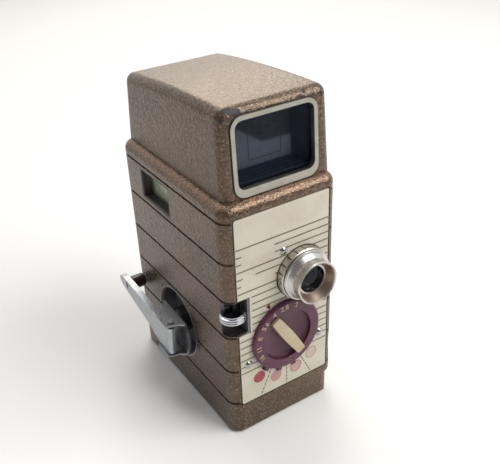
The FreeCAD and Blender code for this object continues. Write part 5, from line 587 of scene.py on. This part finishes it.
class Marks:
    """Gathers thin marks, such as printed lines, discs and numbers, into one mesh."""

    ROUND_SEGMENTS = 40
    CORNER_SHARE = 0.45
    CORNER_SEGMENTS = 2
    ALONG_Y = 0.99
    FIGURE_SHARE = 0.7
    FIGURE_STEPS = 3
    WELD = 1e-7

    def __init__(self) -> None:
        """Starts with an empty mesh."""
        self.mesh = bmesh.new()

    def block(self, place: Matrix, size: Point) -> list[Vert]:
        """Adds a box of the given size about a place, and returns its corners."""
        matrix = place @ Matrix.Diagonal((*size, 1.0))
        return bmesh.ops.create_cube(self.mesh, size=1.0, matrix=matrix)["verts"]

    def soften(self, edges: Iterable[bmesh.types.BMEdge], offset: float, segments: int) -> None:
        """Bevels edges by an offset, with one or more segments."""
        bmesh.ops.bevel(
            self.mesh, geom=list(edges), offset=offset, segments=segments, profile=0.5,
            affect="EDGES", material=-1)

    def stroke(self, start: Point, end: Point, width: float, depth: float) -> None:
        """Adds a straight mark with rounded ends on a face that looks along -Y.

        Args:
            start: middle of one end on the face.
            end: middle of the other end.
            width: width of the mark.
            depth: its thickness, half of which stands out of the face.
        """
        first, last = Vector(start), Vector(end)
        run = last - first
        turn = Matrix.Rotation(-math.atan2(run.z, run.x), 4, "Y")
        verts = self.block(
            Matrix.Translation((first + last) / 2) @ turn, (run.length, depth, width))
        edges = {e for v in verts for e in v.link_edges}
        self.soften(
            (e for e in edges if abs((e.verts[0].co - e.verts[1].co).normalized().y) > self.ALONG_Y),
            width * self.CORNER_SHARE, self.CORNER_SEGMENTS)

    def tick(self, seat: Matrix, size: Point, softening: float) -> None:
        """Adds a dial's tick, a block with softened edges about its seat."""
        self.soften({e for v in self.block(seat, size) for e in v.link_edges}, softening, 1)

    def disc(self, centre: Point, radius: float, depth: float) -> None:
        """Adds a round mark on a face that looks along -Y, with half its depth out of the face."""
        bmesh.ops.create_cone(
            self.mesh, cap_ends=True, segments=self.ROUND_SEGMENTS, radius1=radius, radius2=radius,
            depth=depth, matrix=self._facing(centre))

    def ring(self, centre: Point, outer: float, inner: float, depth: float) -> None:
        """Adds a ring on a face that looks along -Y.

        Args:
            centre: centre of the ring's front.
            outer: outer radius.
            inner: inner radius.
            depth: twice its thickness along Y.
        """
        rounds = [
            bmesh.ops.create_circle(
                self.mesh, segments=self.ROUND_SEGMENTS, radius=radius, matrix=self._facing(centre))["verts"]
            for radius in (outer, inner)]
        edges = list({e for verts in rounds for v in verts for e in v.link_edges})
        faces = bmesh.ops.bridge_loops(self.mesh, edges=edges)["faces"]
        made = bmesh.ops.extrude_face_region(self.mesh, geom=faces)["geom"]
        bmesh.ops.translate(
            self.mesh, vec=(0.0, depth / 2, 0.0),
            verts=[v for v in made if isinstance(v, Vert)])

    def number(self, words: str, height: float, place: Matrix, depth: float) -> list[Vert]:
        """Adds plain figures that lie in the XY plane of a place and face its +Z.

        Args:
            words: the figures.
            height: height of the figures in metres.
            place: where the figures' centre goes.
            depth: half of their thickness.

        Returns:
            The new vertices.
        """
        curve = bpy.data.curves.new("figures", "FONT")
        curve.body = words
        curve.size = height / self.FIGURE_SHARE
        curve.align_x = "CENTER"
        curve.align_y = "CENTER"
        curve.extrude = depth
        curve.resolution_u = self.FIGURE_STEPS
        holder = bpy.data.objects.new("figures", curve)
        flat = bpy.data.meshes.new_from_object(holder)
        flat.transform(place)
        known = set(self.mesh.verts)
        self.mesh.from_mesh(flat)
        bpy.data.meshes.remove(flat)
        bpy.data.objects.remove(holder)
        bpy.data.curves.remove(curve)
        return [v for v in self.mesh.verts if v not in known]

    def place_on(self, name: str, body: str, finish: Finish) -> None:
        """Turns the gathered marks into an object that rides on a body.

        Args:
            name: name of the piece.
            body: body that it moves with.
            finish: its finish.
        """
        bmesh.ops.remove_doubles(self.mesh, verts=self.mesh.verts, dist=self.WELD)
        bmesh.ops.recalc_face_normals(self.mesh, faces=self.mesh.faces)
        mesh = bpy.data.meshes.new(name)
        self.mesh.to_mesh(mesh)
        self.mesh.free()
        mesh.materials.append(finish.make())
        piece = add_object(name, mesh)
        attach(piece, body)
        LOG.info("made %s on %s", name, body)

    def _facing(self, centre: Point) -> Matrix:
        """Returns a place at the centre that looks along -Y."""
        return Matrix.Translation(centre) @ Matrix.Rotation(math.pi / 2, 4, "X")


@dataclass(frozen=True)
class Assembly:
    """Pieces that are dressed together, and the marks on them.

    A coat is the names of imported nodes, with a space between them, and their finish.
    """

    coats: Coats = ()

    def build(self, nodes: dict[str, bpy.types.Object]) -> None:
        """Dresses the assembly's nodes, then adds its marks.

        Args:
            nodes: packed objects by node name.
        """
        for names, finish in self.coats:
            material = finish.make()
            for name in names.split():
                slots = nodes[name].data.materials
                if not slots:
                    slots.append(material)
                for index in range(len(slots)):
                    slots[index] = material
                LOG.info("dressed %s in %s", name, material.name)
        self.mark()

    def mark(self) -> None:
        """Adds the printed and engraved marks, of which most assemblies have none."""


@dataclass(frozen=True)
class Casing(Assembly):
    """Body casting, film door with its latch, hinge pin, tripod bush and release notch."""

    # Height of the shoulder's crest, where the paint gets its copper wear and painted highlight.
    crest: Span = mm(108.2, 110.9)
    chamber: Zone = Zone(mm(-25.28, -41.28, 1.72), mm(25.28, 41.28, 109.78), rounding=3.3 * MM)
    # Painted shade: the recess behind and round the face plate is painted near-black, so the gap round the
    # plate reads as a dark line.
    plate_recess: Zone = Zone(mm(-22.9, -42.96, 15.5), mm(22.9, -40.0, 106.7))
    notch_rim: Zone = Zone(
        mm(-18.4, -43.5, 51.9), mm(-15.6, -37.0, 70.7), (0.2, 0.205, 0.215), metal=0.5, rough=0.42)
    notch_inside: Zone = Zone(
        mm(-27.5, -43.5, 53.2), mm(-17.9, -37.2, 69.3), (0.026, 0.022, 0.023), metal=0.25,
        rough=0.36, relief=0.0)
    # Painted highlight: the chamfer round the crank well is painted a lighter grey, as if lit.
    well_rim: Band = Band(
        Axis.X, CRANK_CENTRE, mm(15.9, 17.3), mm(-27.5, -26.0), (0.25, 0.24, 0.23), metal=0.4, rough=0.4)
    # Painted shade: the inside of the crank well is painted dark.
    crank_well: Band = Band(
        Axis.X, CRANK_CENTRE, mm(0.0, 16.0), mm(-27.5, -18.0), (0.042, 0.044, 0.052), metal=0.2, rough=0.4)
    # Painted shade: the walls of the counter window's recess are painted dark brown.
    window_recess: Zone = Zone(
        mm(-27.02, -0.6, 89.0), mm(-20.0, 25.6, 104.0), (0.06, 0.048, 0.042), metal=0.2, rough=0.45)
    door_lining: Zone = Zone(mm(-27.0, -42.1, 14.3), mm(25.28, 42.0, 104.3))
    skirt_lining: Zone = Zone(mm(-27.0, -42.1, -1.0), mm(23.8, 42.0, 20.0))
    coats: Coats = (
        ("main_casing", HammeredPaint(
            "hammered_bronze", crest=crest,
            zones=(chamber, plate_recess, notch_rim, notch_inside, well_rim, crank_well, window_recess))),
        ("film_door", HammeredPaint("hammered_door", crest=crest, zones=(door_lining, skirt_lining))),
        ("door_hinge_pin", Metal(
            "hinge_steel", (0.55, 0.55, 0.56), (0.4, 0.38, 0.36), 0.28, Grain.DRAWN, Axis.Z)),
        ("door_latch_knob door_latch_tongue", Metal(
            "latch_knob_nickel", (0.66, 0.65, 0.62), (0.48, 0.46, 0.43), 0.24, Grain.TURNED, Axis.X,
            mm(0.0, -31.0, 54.25), scuffs=0.3)),
        ("tripod_socket", Metal(
            "socket_steel", (0.5, 0.5, 0.51), (0.34, 0.32, 0.3), 0.3, Grain.TURNED, Axis.Z)))


@dataclass(frozen=True)
class FacePlate(Assembly):
    """Ivory front plate with its olive lines, light-value discs, index and chrome screws."""

    ivory: Colour = (0.59, 0.555, 0.465)
    line_ink: Ink = Ink("olive_print", (0.13, 0.115, 0.064), ivory, 0.12)
    divider_ink: Ink = Ink("grey_print", (0.055, 0.055, 0.05), ivory)
    index_ink: Ink = Ink("index_red", (0.33, 0.03, 0.03), ivory, 0.1)
    coats: Coats = (
        ("face_plate", Enamel(
            "ivory_enamel", ivory, (0.535, 0.49, 0.385), 0.36, coat=0.15, patch=9 * MM, speck=0.35)),
        ("face_plate_screws", Metal(
            "screw_chrome", (0.42, 0.42, 0.43), (0.32, 0.32, 0.31), 0.08, scuffs=0.3)))
    face: float = -43.0 * MM
    print_depth: float = 0.04 * MM
    half: float = 22.3 * MM
    inset: float = 0.1 * MM
    first_line: float = 93.23 * MM
    line_pitch: float = 3.366 * MM
    line_count: int = 19
    line_width: float = 0.6 * MM
    bare_parts: tuple[tuple[int, Span], ...] = (
        (1, mm(-19.6, -4.3)), (2, mm(-19.7, -4.3)), (4, mm(-19.4, -13.5)), (5, mm(-20.2, -4.3)))
    round_gaps: tuple[tuple[Span, float], ...] = (
        (DIAL_X_Z, 16.0 * MM), (LENS_X_Z, 11.0 * MM))
    notch_x: float = -15.9 * MM
    notch_z: Span = mm(52.0, 71.2)
    disc_radius: float = 3.05 * MM
    disc_share: float = 0.97
    rim_width: float = 0.35 * MM
    discs: tuple[tuple[Span, Colour, Colour | None], ...] = (
        (mm(-13.4, 27.1), (0.34, 0.04, 0.07), None),
        (mm(-4.95, 23.3), (0.47, 0.25, 0.26), None),
        (mm(5.75, 23.5), (0.51, 0.31, 0.28), (0.29, 0.13, 0.12)),
        (mm(14.0, 27.3), (0.54, 0.43, 0.35), (0.33, 0.21, 0.165)))
    dividers: tuple[tuple[Span, Span], ...] = (
        (mm(-6.9, 29.3), mm(-12.7, 16.7)), (mm(0.8, 27.2), mm(0.75, 16.7)),
        (mm(8.2, 28.3), mm(13.7, 16.7)))
    dash: float = 1.5 * MM
    dash_gap: float = 0.5 * MM
    dash_width: float = 0.5 * MM
    index_angle: float = math.radians(115.0)
    index_radii: Span = mm(17.1, 19.5)
    index_half: float = 1.0 * MM
    index_width: float = 0.45 * MM
    index_shares: tuple[float, ...] = (-1.0, -0.5, 0.0, 0.5, 1.0)

    def mark(self) -> None:
        """Prints the lines, the dividers, the light-value discs and the dial's index."""
        self._print("plate_lines", self._lines(), self.line_ink)
        self._print("plate_dividers", self._dividers(), self.divider_ink)
        for index, (at, tone, rim) in enumerate(self.discs, 1):
            spot = Marks()
            spot.disc(self._on_face(*at), self.disc_radius * self.disc_share, self.print_depth)
            self._print(f"light_disc_{index}", spot, Ink(f"light_print_{index}", tone, self.ivory, 0.3))
            if rim:
                edge = Marks()
                edge.ring(
                    self._on_face(*at, self.print_depth), self.disc_radius,
                    self.disc_radius - self.rim_width, self.print_depth)
                self._print(f"light_rim_{index}", edge, Ink(f"rim_print_{index}", rim, self.ivory, 0.2))
        self._print("dial_index", self._index(), self.index_ink)

    def _print(self, name: str, marks: Marks, ink: Ink) -> None:
        """Places marks on the plate."""
        marks.place_on(name, "casing", ink)

    def _on_face(self, x: float, z: float, out: float = 0.0) -> Point:
        """Returns a point on the plate's face, or out of it."""
        return (x, self.face - out, z)

    def _lines(self) -> Marks:
        """Returns the row of printed lines, with gaps where the plate is left bare."""
        marks = Marks()
        gaps = dict(self.bare_parts)
        for index in range(self.line_count):
            z = self.first_line - index * self.line_pitch
            ends = [-self.half + self.inset, self.half - self.inset]
            ends[1:1] = gaps.get(index, ())
            for centre, radius in self.round_gaps:
                half = math.sqrt(max(radius ** 2 - (z - centre[1]) ** 2, 0.0))
                if half:
                    ends = self._without(ends, centre[0] - half, centre[0] + half)
            for left, right in zip(ends[::2], ends[1::2]):
                left = max(left, self._notch_side(z))
                marks.stroke(
                    self._on_face(left, z), self._on_face(right, z), self.line_width, self.print_depth)
        return marks

    def _without(self, ends: list[float], low: float, high: float) -> list[float]:
        """Takes a span out of a row of runs.

        Args:
            ends: starts and ends of the runs in turn.
            low: start of the span.
            high: end of the span.

        Returns:
            The starts and ends of what is left.
        """
        left: list[float] = []
        for start, end in zip(ends[::2], ends[1::2]):
            for first, last in ((start, min(end, low)), (max(start, high), end)):
                if last - first > self.line_width:
                    left += [first, last]
        return left

    def _notch_side(self, z: float) -> float:
        """Returns the lowest x that a line may have beside the release notch."""
        return self.notch_x if self.notch_z[0] < z < self.notch_z[1] else -self.half

    def _dividers(self) -> Marks:
        """Returns the dashed lines between the light-value discs."""
        marks = Marks()
        for ends in self.dividers:
            first, last = (Vector(self._on_face(*end)) for end in ends)
            run = (last - first).length
            way = (last - first) / run
            start = 0.0
            while start < run:
                end = min(start + self.dash, run)
                marks.stroke(
                    tuple(first + way * start), tuple(first + way * end), self.dash_width,
                    self.print_depth)
                start = end + self.dash_gap
        return marks

    def _index(self) -> Marks:
        """Returns the small red pointer beside the dial."""
        marks = Marks()
        out = Vector((math.cos(self.index_angle), 0.0, math.sin(self.index_angle)))
        side = Vector((-out.z, 0.0, out.x))
        centre = Vector(self._on_face(*DIAL_X_Z))
        tip, tail = (centre + out * radius for radius in self.index_radii)
        for share in self.index_shares:
            end = tail + side * share * self.index_half
            marks.stroke(tuple(tip), tuple(end), self.index_width, self.print_depth)
        return marks


@dataclass(frozen=True)
class ExposureControl(Assembly):
    """Maroon dial with its cream figures, the finger bar, and the aperture disc behind."""

    maroon: Colour = (0.1, 0.025, 0.052)
    ink: Ink = Ink("dial_figures", (0.56, 0.43, 0.27), maroon, 0.45)
    coats: Coats = (
        ("exposure_dial", Enamel(
            "maroon_enamel", maroon, (0.076, 0.021, 0.043), 0.3, coat=0.12, shine=0.35, peel=0.006 * MM,
            patch=6 * MM, speck=0.25)),
        ("exposure_bar", Enamel(
            "cream_bar", (0.5, 0.43, 0.29), (0.44, 0.345, 0.19), 0.34, coat=0.2, patch=4 * MM,
            speck=0.3)),
        ("exposure_shaft", Metal("exposure_steel", (0.42, 0.42, 0.43), (0.3, 0.29, 0.28), 0.34)),
        ("aperture_disc", Metal(
            "aperture_black", (0.045, 0.045, 0.048), (0.03, 0.03, 0.032), 0.45, Grain.TURNED, Axis.Y,
            mm(-0.36, 0.0, 70.4))))
    centre: Point = (DIAL_X_Z[0], -45.3 * MM, DIAL_X_Z[1])
    out: Point = (0.0, -1.0, 0.0)
    figure_radius: float = 14.35 * MM
    figure_height: float = 2.35 * MM
    figure_depth: float = 0.03 * MM
    figures: tuple[tuple[str, float], ...] = (
        ("16", 206.0), ("11", 184.5), ("8", 162.3), ("5.6", 139.3), ("4", 116.4), ("2.8", 95.5),
        ("2", 71.8))

    def mark(self) -> None:
        """Prints the dial's figures, each at its angle in degrees from +X towards +Z."""
        marks = Marks()
        for words, degrees in self.figures:
            angle = math.radians(degrees)
            up = Vector((math.cos(angle), 0.0, math.sin(angle)))
            seat = dial_seat(self.centre, up, Vector(self.out), self.figure_radius)
            marks.number(words, self.figure_height, seat, self.figure_depth)
        marks.place_on("dial_numbers", "dial", self.ink)


@dataclass(frozen=True)
class Lens(Assembly):
    """Satin lens ring and turning sleeve, engraved with a plain distance scale, and its glasses."""

    centre: Point = (LENS_X_Z[0], 0.0, LENS_X_Z[1])
    flutes: Band = Band(Axis.Y, centre, mm(10.8, 11.62), mm(-46.1, -42.0), (0.035, 0.032, 0.03))
    mouth: Band = Band(
        Axis.Y, centre, mm(6.6, 8.8), mm(-54.4, -49.0), (0.34, 0.265, 0.215), metal=1.0, rough=0.38)
    coats: Coats = (
        ("lens_mount", Metal(
            "lens_ring_satin", (0.6, 0.57, 0.52), (0.46, 0.42, 0.36), 0.3, Grain.TURNED, Axis.Y, centre,
            marks=0.004 * MM, zones=(flutes,))),
        ("focus_sleeve", Metal(
            "lens_sleeve_satin", (0.62, 0.61, 0.58), (0.5, 0.47, 0.43), 0.26, Grain.TURNED, Axis.Y, centre,
            marks=0.004 * MM, zones=(mouth,))),
        ("lens_front_glass lens_rear_glass", Glass(
            "lens_glass", (0.06, 0.09, 0.17), 0.88, 0.01, 1.28, dust=0.02)))
    scale_ink: Ink = Ink("scale_black", (0.07, 0.065, 0.06), (0.45, 0.44, 0.42), 0.35)
    waist: float = 9.0 * MM
    scale_y: float = -50.8 * MM
    distances: tuple[str, ...] = ("2", "3", "4", "6", "10", "25")
    first_angle: float = 150.0
    angle_pitch: float = 24.0
    figure_height: float = 0.95 * MM
    figure_depth: float = 0.02 * MM

    def mark(self) -> None:
        """Engraves the distance figures, which are made flat and wrapped round the sleeve's waist."""
        marks = Marks()
        for index, words in enumerate(self.distances):
            middle = math.radians(self.first_angle - self.angle_pitch * index)
            fresh = marks.number(words, self.figure_height, Matrix.Identity(4), self.figure_depth)
            for vert in fresh:
                angle = middle - vert.co.x / self.waist
                radius = self.waist + vert.co.z
                vert.co = Vector((
                    self.centre[0] + radius * math.cos(angle), self.scale_y + vert.co.y,
                    self.centre[2] + radius * math.sin(angle)))
        marks.place_on("focus_scale", "focus", self.scale_ink)


@dataclass(frozen=True)
class Release(Assembly):
    """Ribbed release button, its slide, spring and lever."""

    coats: Coats = (
        ("release_button", Metal("button_chrome", (0.58, 0.6, 0.64), (0.46, 0.47, 0.5), 0.12, scuffs=0.2)),
        ("release_slide release_lever", Metal(
            "slide_steel", (0.09, 0.09, 0.095), (0.06, 0.058, 0.057), 0.45, Grain.DRAWN, Axis.Z)),
        ("release_spring gate_spring", Metal("spring_wire", (0.52, 0.5, 0.47), (0.36, 0.33, 0.29), 0.25)))


@dataclass(frozen=True)
class Crank(Assembly):
    """Folding winding crank: bright pressed steel with a dark plum knob."""

    coats: Coats = (
        ("crank_arm", Metal(
            "crank_sheet", (0.44, 0.46, 0.48), (0.34, 0.36, 0.38), 0.3, Grain.DRAWN, Axis.Y,
            marks=0.002 * MM, scuffs=0.35)),
        # Painted shade: the yoke is the arm's bright steel painted darker, a shaded copy of the arm's
        # finish.
        ("crank_yoke", Metal(
            "crank_yoke_shaded_sheet", (0.33, 0.34, 0.35), (0.25, 0.26, 0.28), 0.3, Grain.DRAWN, Axis.Y,
            marks=0.002 * MM, scuffs=0.35)),
        ("crank_fold_pin crank_knob_pin", Metal("crank_pins", (0.5, 0.5, 0.51), (0.34, 0.33, 0.32), 0.25)),
        ("crank_knob", Enamel("plum_plastic", (0.05, 0.018, 0.024), (0.036, 0.014, 0.018), 0.28, coat=0.3)),
        ("winding_arbor ratchet_wheel ratchet_pawl", Metal(
            "arbor_steel", (0.45, 0.45, 0.46), (0.32, 0.31, 0.3), 0.28, Grain.TURNED, Axis.X,
            CRANK_CENTRE)))


@dataclass(frozen=True)
class Finder(Assembly):
    """Finder housing, its pale window frame, glasses, dark tunnel and eyepiece."""

    chips: tuple[Chip, ...] = (
        Chip(mm(-18.7, -35.9, 145.5), 2.3 * MM, (1.0, 1.7, 2.2)),
        Chip(mm(-15.6, -36.7, 144.6), 2.0 * MM, (0.9, 1.5, 1.7)),
        Chip(mm(14.8, -36.0, 145.3), 0.7 * MM),
        Chip(mm(12.5, -36.9, 144.1), 0.8 * MM, (0.8, 1.0, 1.2)),
        Chip(mm(22.1, -37.2, 143.2), 0.8 * MM, (1.3, 1.0, 0.8)),
        Chip(mm(-21.3, -36.4, 142.6), 0.75 * MM))
    tunnel: Zone = Zone(mm(-21.0, -34.5, 100.0), mm(23.0, 36.0, 138.0))
    # Painted shade: the hood is painted near-black just round the window frame and behind it, so the gap
    # round the frame reads as a dark line.
    seam: Zone = Zone(mm(-19.0, -60.0, 111.55), mm(20.2, -20.0, 143.6), rounding=5.3 * MM)
    coats: Coats = (
        ("finder_hood", HammeredPaint("hammered_hood", chips=chips, zones=(tunnel, seam))),
        ("finder_frame", Metal(
            "frame_satin", (0.42, 0.41, 0.36), (0.35, 0.34, 0.29), 0.4, Grain.DRAWN, Axis.X,
            marks=0.003 * MM)),
        ("finder_front_glass", Glass("window_glass", (0.45, 0.55, 0.7), 0.1, ior=1.15, dust=0.02)),
        ("finder_baffle", Enamel(
            "tunnel_black", (0.01, 0.015, 0.026), (0.007, 0.011, 0.02), 0.5, shine=0.1)),
        ("finder_mask_glass", MaskGlass("mask_glass")),
        ("eyepiece_bezel", Metal(
            "eyepiece_black", (0.06, 0.06, 0.064), (0.04, 0.04, 0.043), 0.32, Grain.TURNED, Axis.Y,
            mm(0.6, 0.0, 128.65))),
        ("eyepiece_glass", Glass("eye_glass", (0.45, 0.5, 0.6), 0.5, 0.01, 1.55)))
    etching: Enamel = Enamel("outline_etch", (0.01, 0.013, 0.02), (0.016, 0.02, 0.028), 0.5, shine=0.1)
    mask_face: float = -30.0 * MM
    outline_x: Span = mm(-6.4, 8.4)
    outline_z: Span = mm(121.3, 132.4)
    outline_width: float = 0.35 * MM
    outline_depth: float = 0.04 * MM

    def mark(self) -> None:
        """Etches the picture outline on the inner glass."""
        etched = Marks()
        (left, right), (low, high) = self.outline_x, self.outline_z
        turns = [(x, self.mask_face, z) for x, z in (
            (left, low), (right, low), (right, high), (left, high))]
        for first, last in zip(turns, turns[1:] + turns[:1]):
            etched.stroke(first, last, self.outline_width, self.outline_depth)
        etched.place_on("picture_outline", "casing", self.etching)


@dataclass(frozen=True)
class FootageCounter(Assembly):
    """Footage dial behind its window, with a tick for each foot and a figure for every fifth."""

    card: Colour = (0.56, 0.58, 0.47)
    coats: Coats = (
        ("counter_dial", Enamel("counter_card", card, (0.47, 0.48, 0.38), 0.5, speck=0.2)),
        ("counter_shaft feeler_arm", Metal("counter_steel", (0.45, 0.45, 0.46), (0.33, 0.32, 0.31), 0.3)),
        ("counter_window", Glass("window_pane", (0.8, 0.84, 0.72), 0.3, dust=0.2)))
    ink: Ink = Ink("counter_print", (0.05, 0.05, 0.05), card)
    centre: Point = mm(-21.6, 10.8, 83.25)
    out: Point = (-1.0, 0.0, 0.0)
    length: int = 25
    step: float = 6.4
    figure_every: int = 5
    tick_radius: float = 18.2 * MM
    tick_size: Point = mm(0.3, 1.5, 0.05)
    long_tick_size: Point = mm(0.3, 2.4, 0.05)
    tick_softening: float = 0.012 * MM
    figure_radius: float = 14.6 * MM
    figure_height: float = 2.6 * MM
    figure_depth: float = 0.03 * MM

    def mark(self) -> None:
        """Prints the scale, which runs clockwise from the top when it is seen from outside."""
        marks = Marks()
        for feet in range(self.length + 1):
            angle = math.radians(feet * self.step)
            up = Vector((0.0, -math.sin(angle), math.cos(angle)))
            whole = feet % self.figure_every == 0
            seat = dial_seat(self.centre, up, Vector(self.out), self.tick_radius)
            marks.tick(seat, self.long_tick_size if whole else self.tick_size, self.tick_softening)
            if whole:
                seat = dial_seat(self.centre, up, Vector(self.out), self.figure_radius)
                marks.number(str(feet), self.figure_height, seat, self.figure_depth)
        marks.place_on("counter_scale", "counter", self.ink)


@dataclass(frozen=True)
class Clockwork(Assembly):
    """Plates, wheels, barrel, governor, shutter, gate and spools behind the film door."""

    coats: Coats = (
        ("mechanism_plate train_bridge arbor_bracket gate_bracket", Metal(
            "plate_steel", (0.58, 0.58, 0.57), (0.46, 0.45, 0.43), 0.34, Grain.DRAWN, Axis.Z,
            marks=0.003 * MM)),
        ("mechanism_screws shutter_drive_shaft take_up_shaft feed_spindle", Metal(
            "dark_steel", (0.3, 0.3, 0.31), (0.2, 0.19, 0.19), 0.3)),
        ("second_wheel third_wheel spring_barrel barrel_cover governor", Metal(
            "wheel_brass", (0.6, 0.44, 0.2), (0.42, 0.29, 0.13), 0.28, marks=0.003 * MM)),
        ("mainspring", Metal("mainspring_blue", (0.14, 0.16, 0.24), (0.2, 0.19, 0.2), 0.22)),
        ("shutter", Metal("shutter_black", (0.04, 0.04, 0.043), (0.028, 0.028, 0.03), 0.42)),
        ("gate_plate pressure_plate claw", Metal(
            "gate_chrome", (0.66, 0.66, 0.67), (0.54, 0.53, 0.52), 0.18, Grain.DRAWN, Axis.Z)),
        ("take_up_spool", Metal(
            "take_up_spool_grey", (0.33, 0.34, 0.35), (0.22, 0.22, 0.23), 0.36, Grain.TURNED, Axis.X,
            mm(0.0, 14.67, 29.05), marks=0.004 * MM)),
        ("feed_spool", Metal(
            "feed_spool_grey", (0.33, 0.34, 0.35), (0.22, 0.22, 0.23), 0.36, Grain.TURNED, Axis.X,
            mm(0.0, 14.67, 79.65), marks=0.004 * MM)))


@dataclass(frozen=True)
class Lamp:
    """A square studio lamp aimed at the part."""

    name: str
    place: Point
    size: float
    power: float
    colour: Colour = (1.0, 1.0, 1.0)


@dataclass(frozen=True)
class Studio:
    """Pale floor, soft lamps, white surroundings and the camera at the photograph's angle."""

    eye: Point = (-0.13651, -0.2344, 0.23361)
    turn: Point = (59.34025, 2.00261, -33.54016)
    focal: float = 50.94
    sensor: float = 36.0
    clip: float = 0.01
    target: Point = (0.0, 0.0, 0.07)
    lamps: tuple[Lamp, ...] = (
        Lamp("key", (0.45, -0.55, 0.77), 0.7, 7.5, (1.0, 0.98, 0.95)),
        Lamp("roof", (0.15, 0.45, 1.1), 0.6, 5.0),
        Lamp("back", (0.45, 0.8, 0.55), 0.4, 1.5, (1.0, 0.88, 0.68)),
        Lamp("fill", (-0.7, -0.45, 0.35), 0.6, 0.1, (1.0, 0.95, 0.97)))
    ambient: float = 0.37
    bright_side: Point = (0.42, 0.72, 0.1)
    bright_span: Span = (-0.35, 0.45)
    dim: float = 0.17
    floor_half: float = 3.0
    floor_patch: float = 60 * MM
    floor_tones: tuple[Colour, Colour] = ((0.93, 0.925, 0.92), (0.95, 0.945, 0.94))
    floor_rough: float = 0.9

    def build(self) -> None:
        """Sets the camera, the lamps, the world, the floor and the view transform."""
        bpy.context.scene.view_settings.view_transform = "Standard"
        self._camera()
        for lamp in self.lamps:
            self._lamp(lamp)
        self._world()
        self._floor()

    def _camera(self) -> None:
        """Adds the camera and makes it the scene's own."""
        lens = bpy.data.cameras.new("view")
        lens.lens = self.focal
        lens.sensor_width = self.sensor
        lens.sensor_fit = "HORIZONTAL"
        lens.clip_start = self.clip
        camera = add_object("view", lens)
        camera.location = self.eye
        camera.rotation_euler = Euler([math.radians(a) for a in self.turn], "XYZ")
        bpy.context.scene.camera = camera

    def _lamp(self, lamp: Lamp) -> None:
        """Adds one square lamp that looks at the target.

        Args:
            lamp: its place, size and light.
        """
        light = bpy.data.lights.new(lamp.name, "AREA")
        light.shape = "SQUARE"
        light.size = lamp.size
        light.energy = lamp.power
        light.color = lamp.colour
        holder = add_object(lamp.name, light)
        holder.location = lamp.place
        way = Vector(self.target) - Vector(lamp.place)
        holder.rotation_euler = way.to_track_quat("-Z", "Y").to_euler()

    def _world(self) -> None:
        """Makes the surroundings white where they are seen, and softer where they light."""
        world = bpy.data.worlds.new("studio")
        g = Nodes(world)
        ray = g.add("ShaderNodeLightPath", {}).outputs
        way = g.add("ShaderNodeTexCoord", {}).outputs["Generated"]
        toward = g.add("ShaderNodeVectorMath", {0: way, 1: self.bright_side}, operation="DOT_PRODUCT")
        mirrored = g.spread(toward.outputs["Value"], *self.bright_span, self.dim)
        seen = g.calc("MAXIMUM", ray["Is Camera Ray"], ray["Is Transmission Ray"])
        strength = g.mix(seen, g.mix(ray["Is Glossy Ray"], self.ambient, mirrored), 1.0)
        background = g.add("ShaderNodeBackground", {"Color": (1.0, 1.0, 1.0, 1.0), "Strength": strength})
        g.add("ShaderNodeOutputWorld", {"Surface": background.outputs[0]})
        bpy.context.scene.world = world

    def _floor(self) -> None:
        """Lays the pale floor on which the part stands."""
        grid = bmesh.new()
        bmesh.ops.create_grid(grid, x_segments=2, y_segments=2, size=self.floor_half)
        mesh = bpy.data.meshes.new("floor")
        grid.to_mesh(mesh)
        grid.free()
        g = Graph("floor_paper")
        tone = g.blend(g.noise(self.floor_patch, 2.0), *self.floor_tones)
        mesh.materials.append(g.finish(Base_Color=tone, Roughness=self.floor_rough))
        floor = add_object("floor", mesh)


def main() -> None:
    """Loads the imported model, dresses it piece by piece and sets the stage."""
    logging.basicConfig(level=logging.INFO)
    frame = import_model()
    nodes = frame["nodes"]
    Studio().build()
    for assembly in (
            Casing(), FacePlate(), ExposureControl(), Lens(), Release(), Crank(), Finder(),
            FootageCounter(), Clockwork()):
        LOG.info("building %s", type(assembly).__name__)
        assembly.build(nodes)


if __name__ == "__main__":
    main()
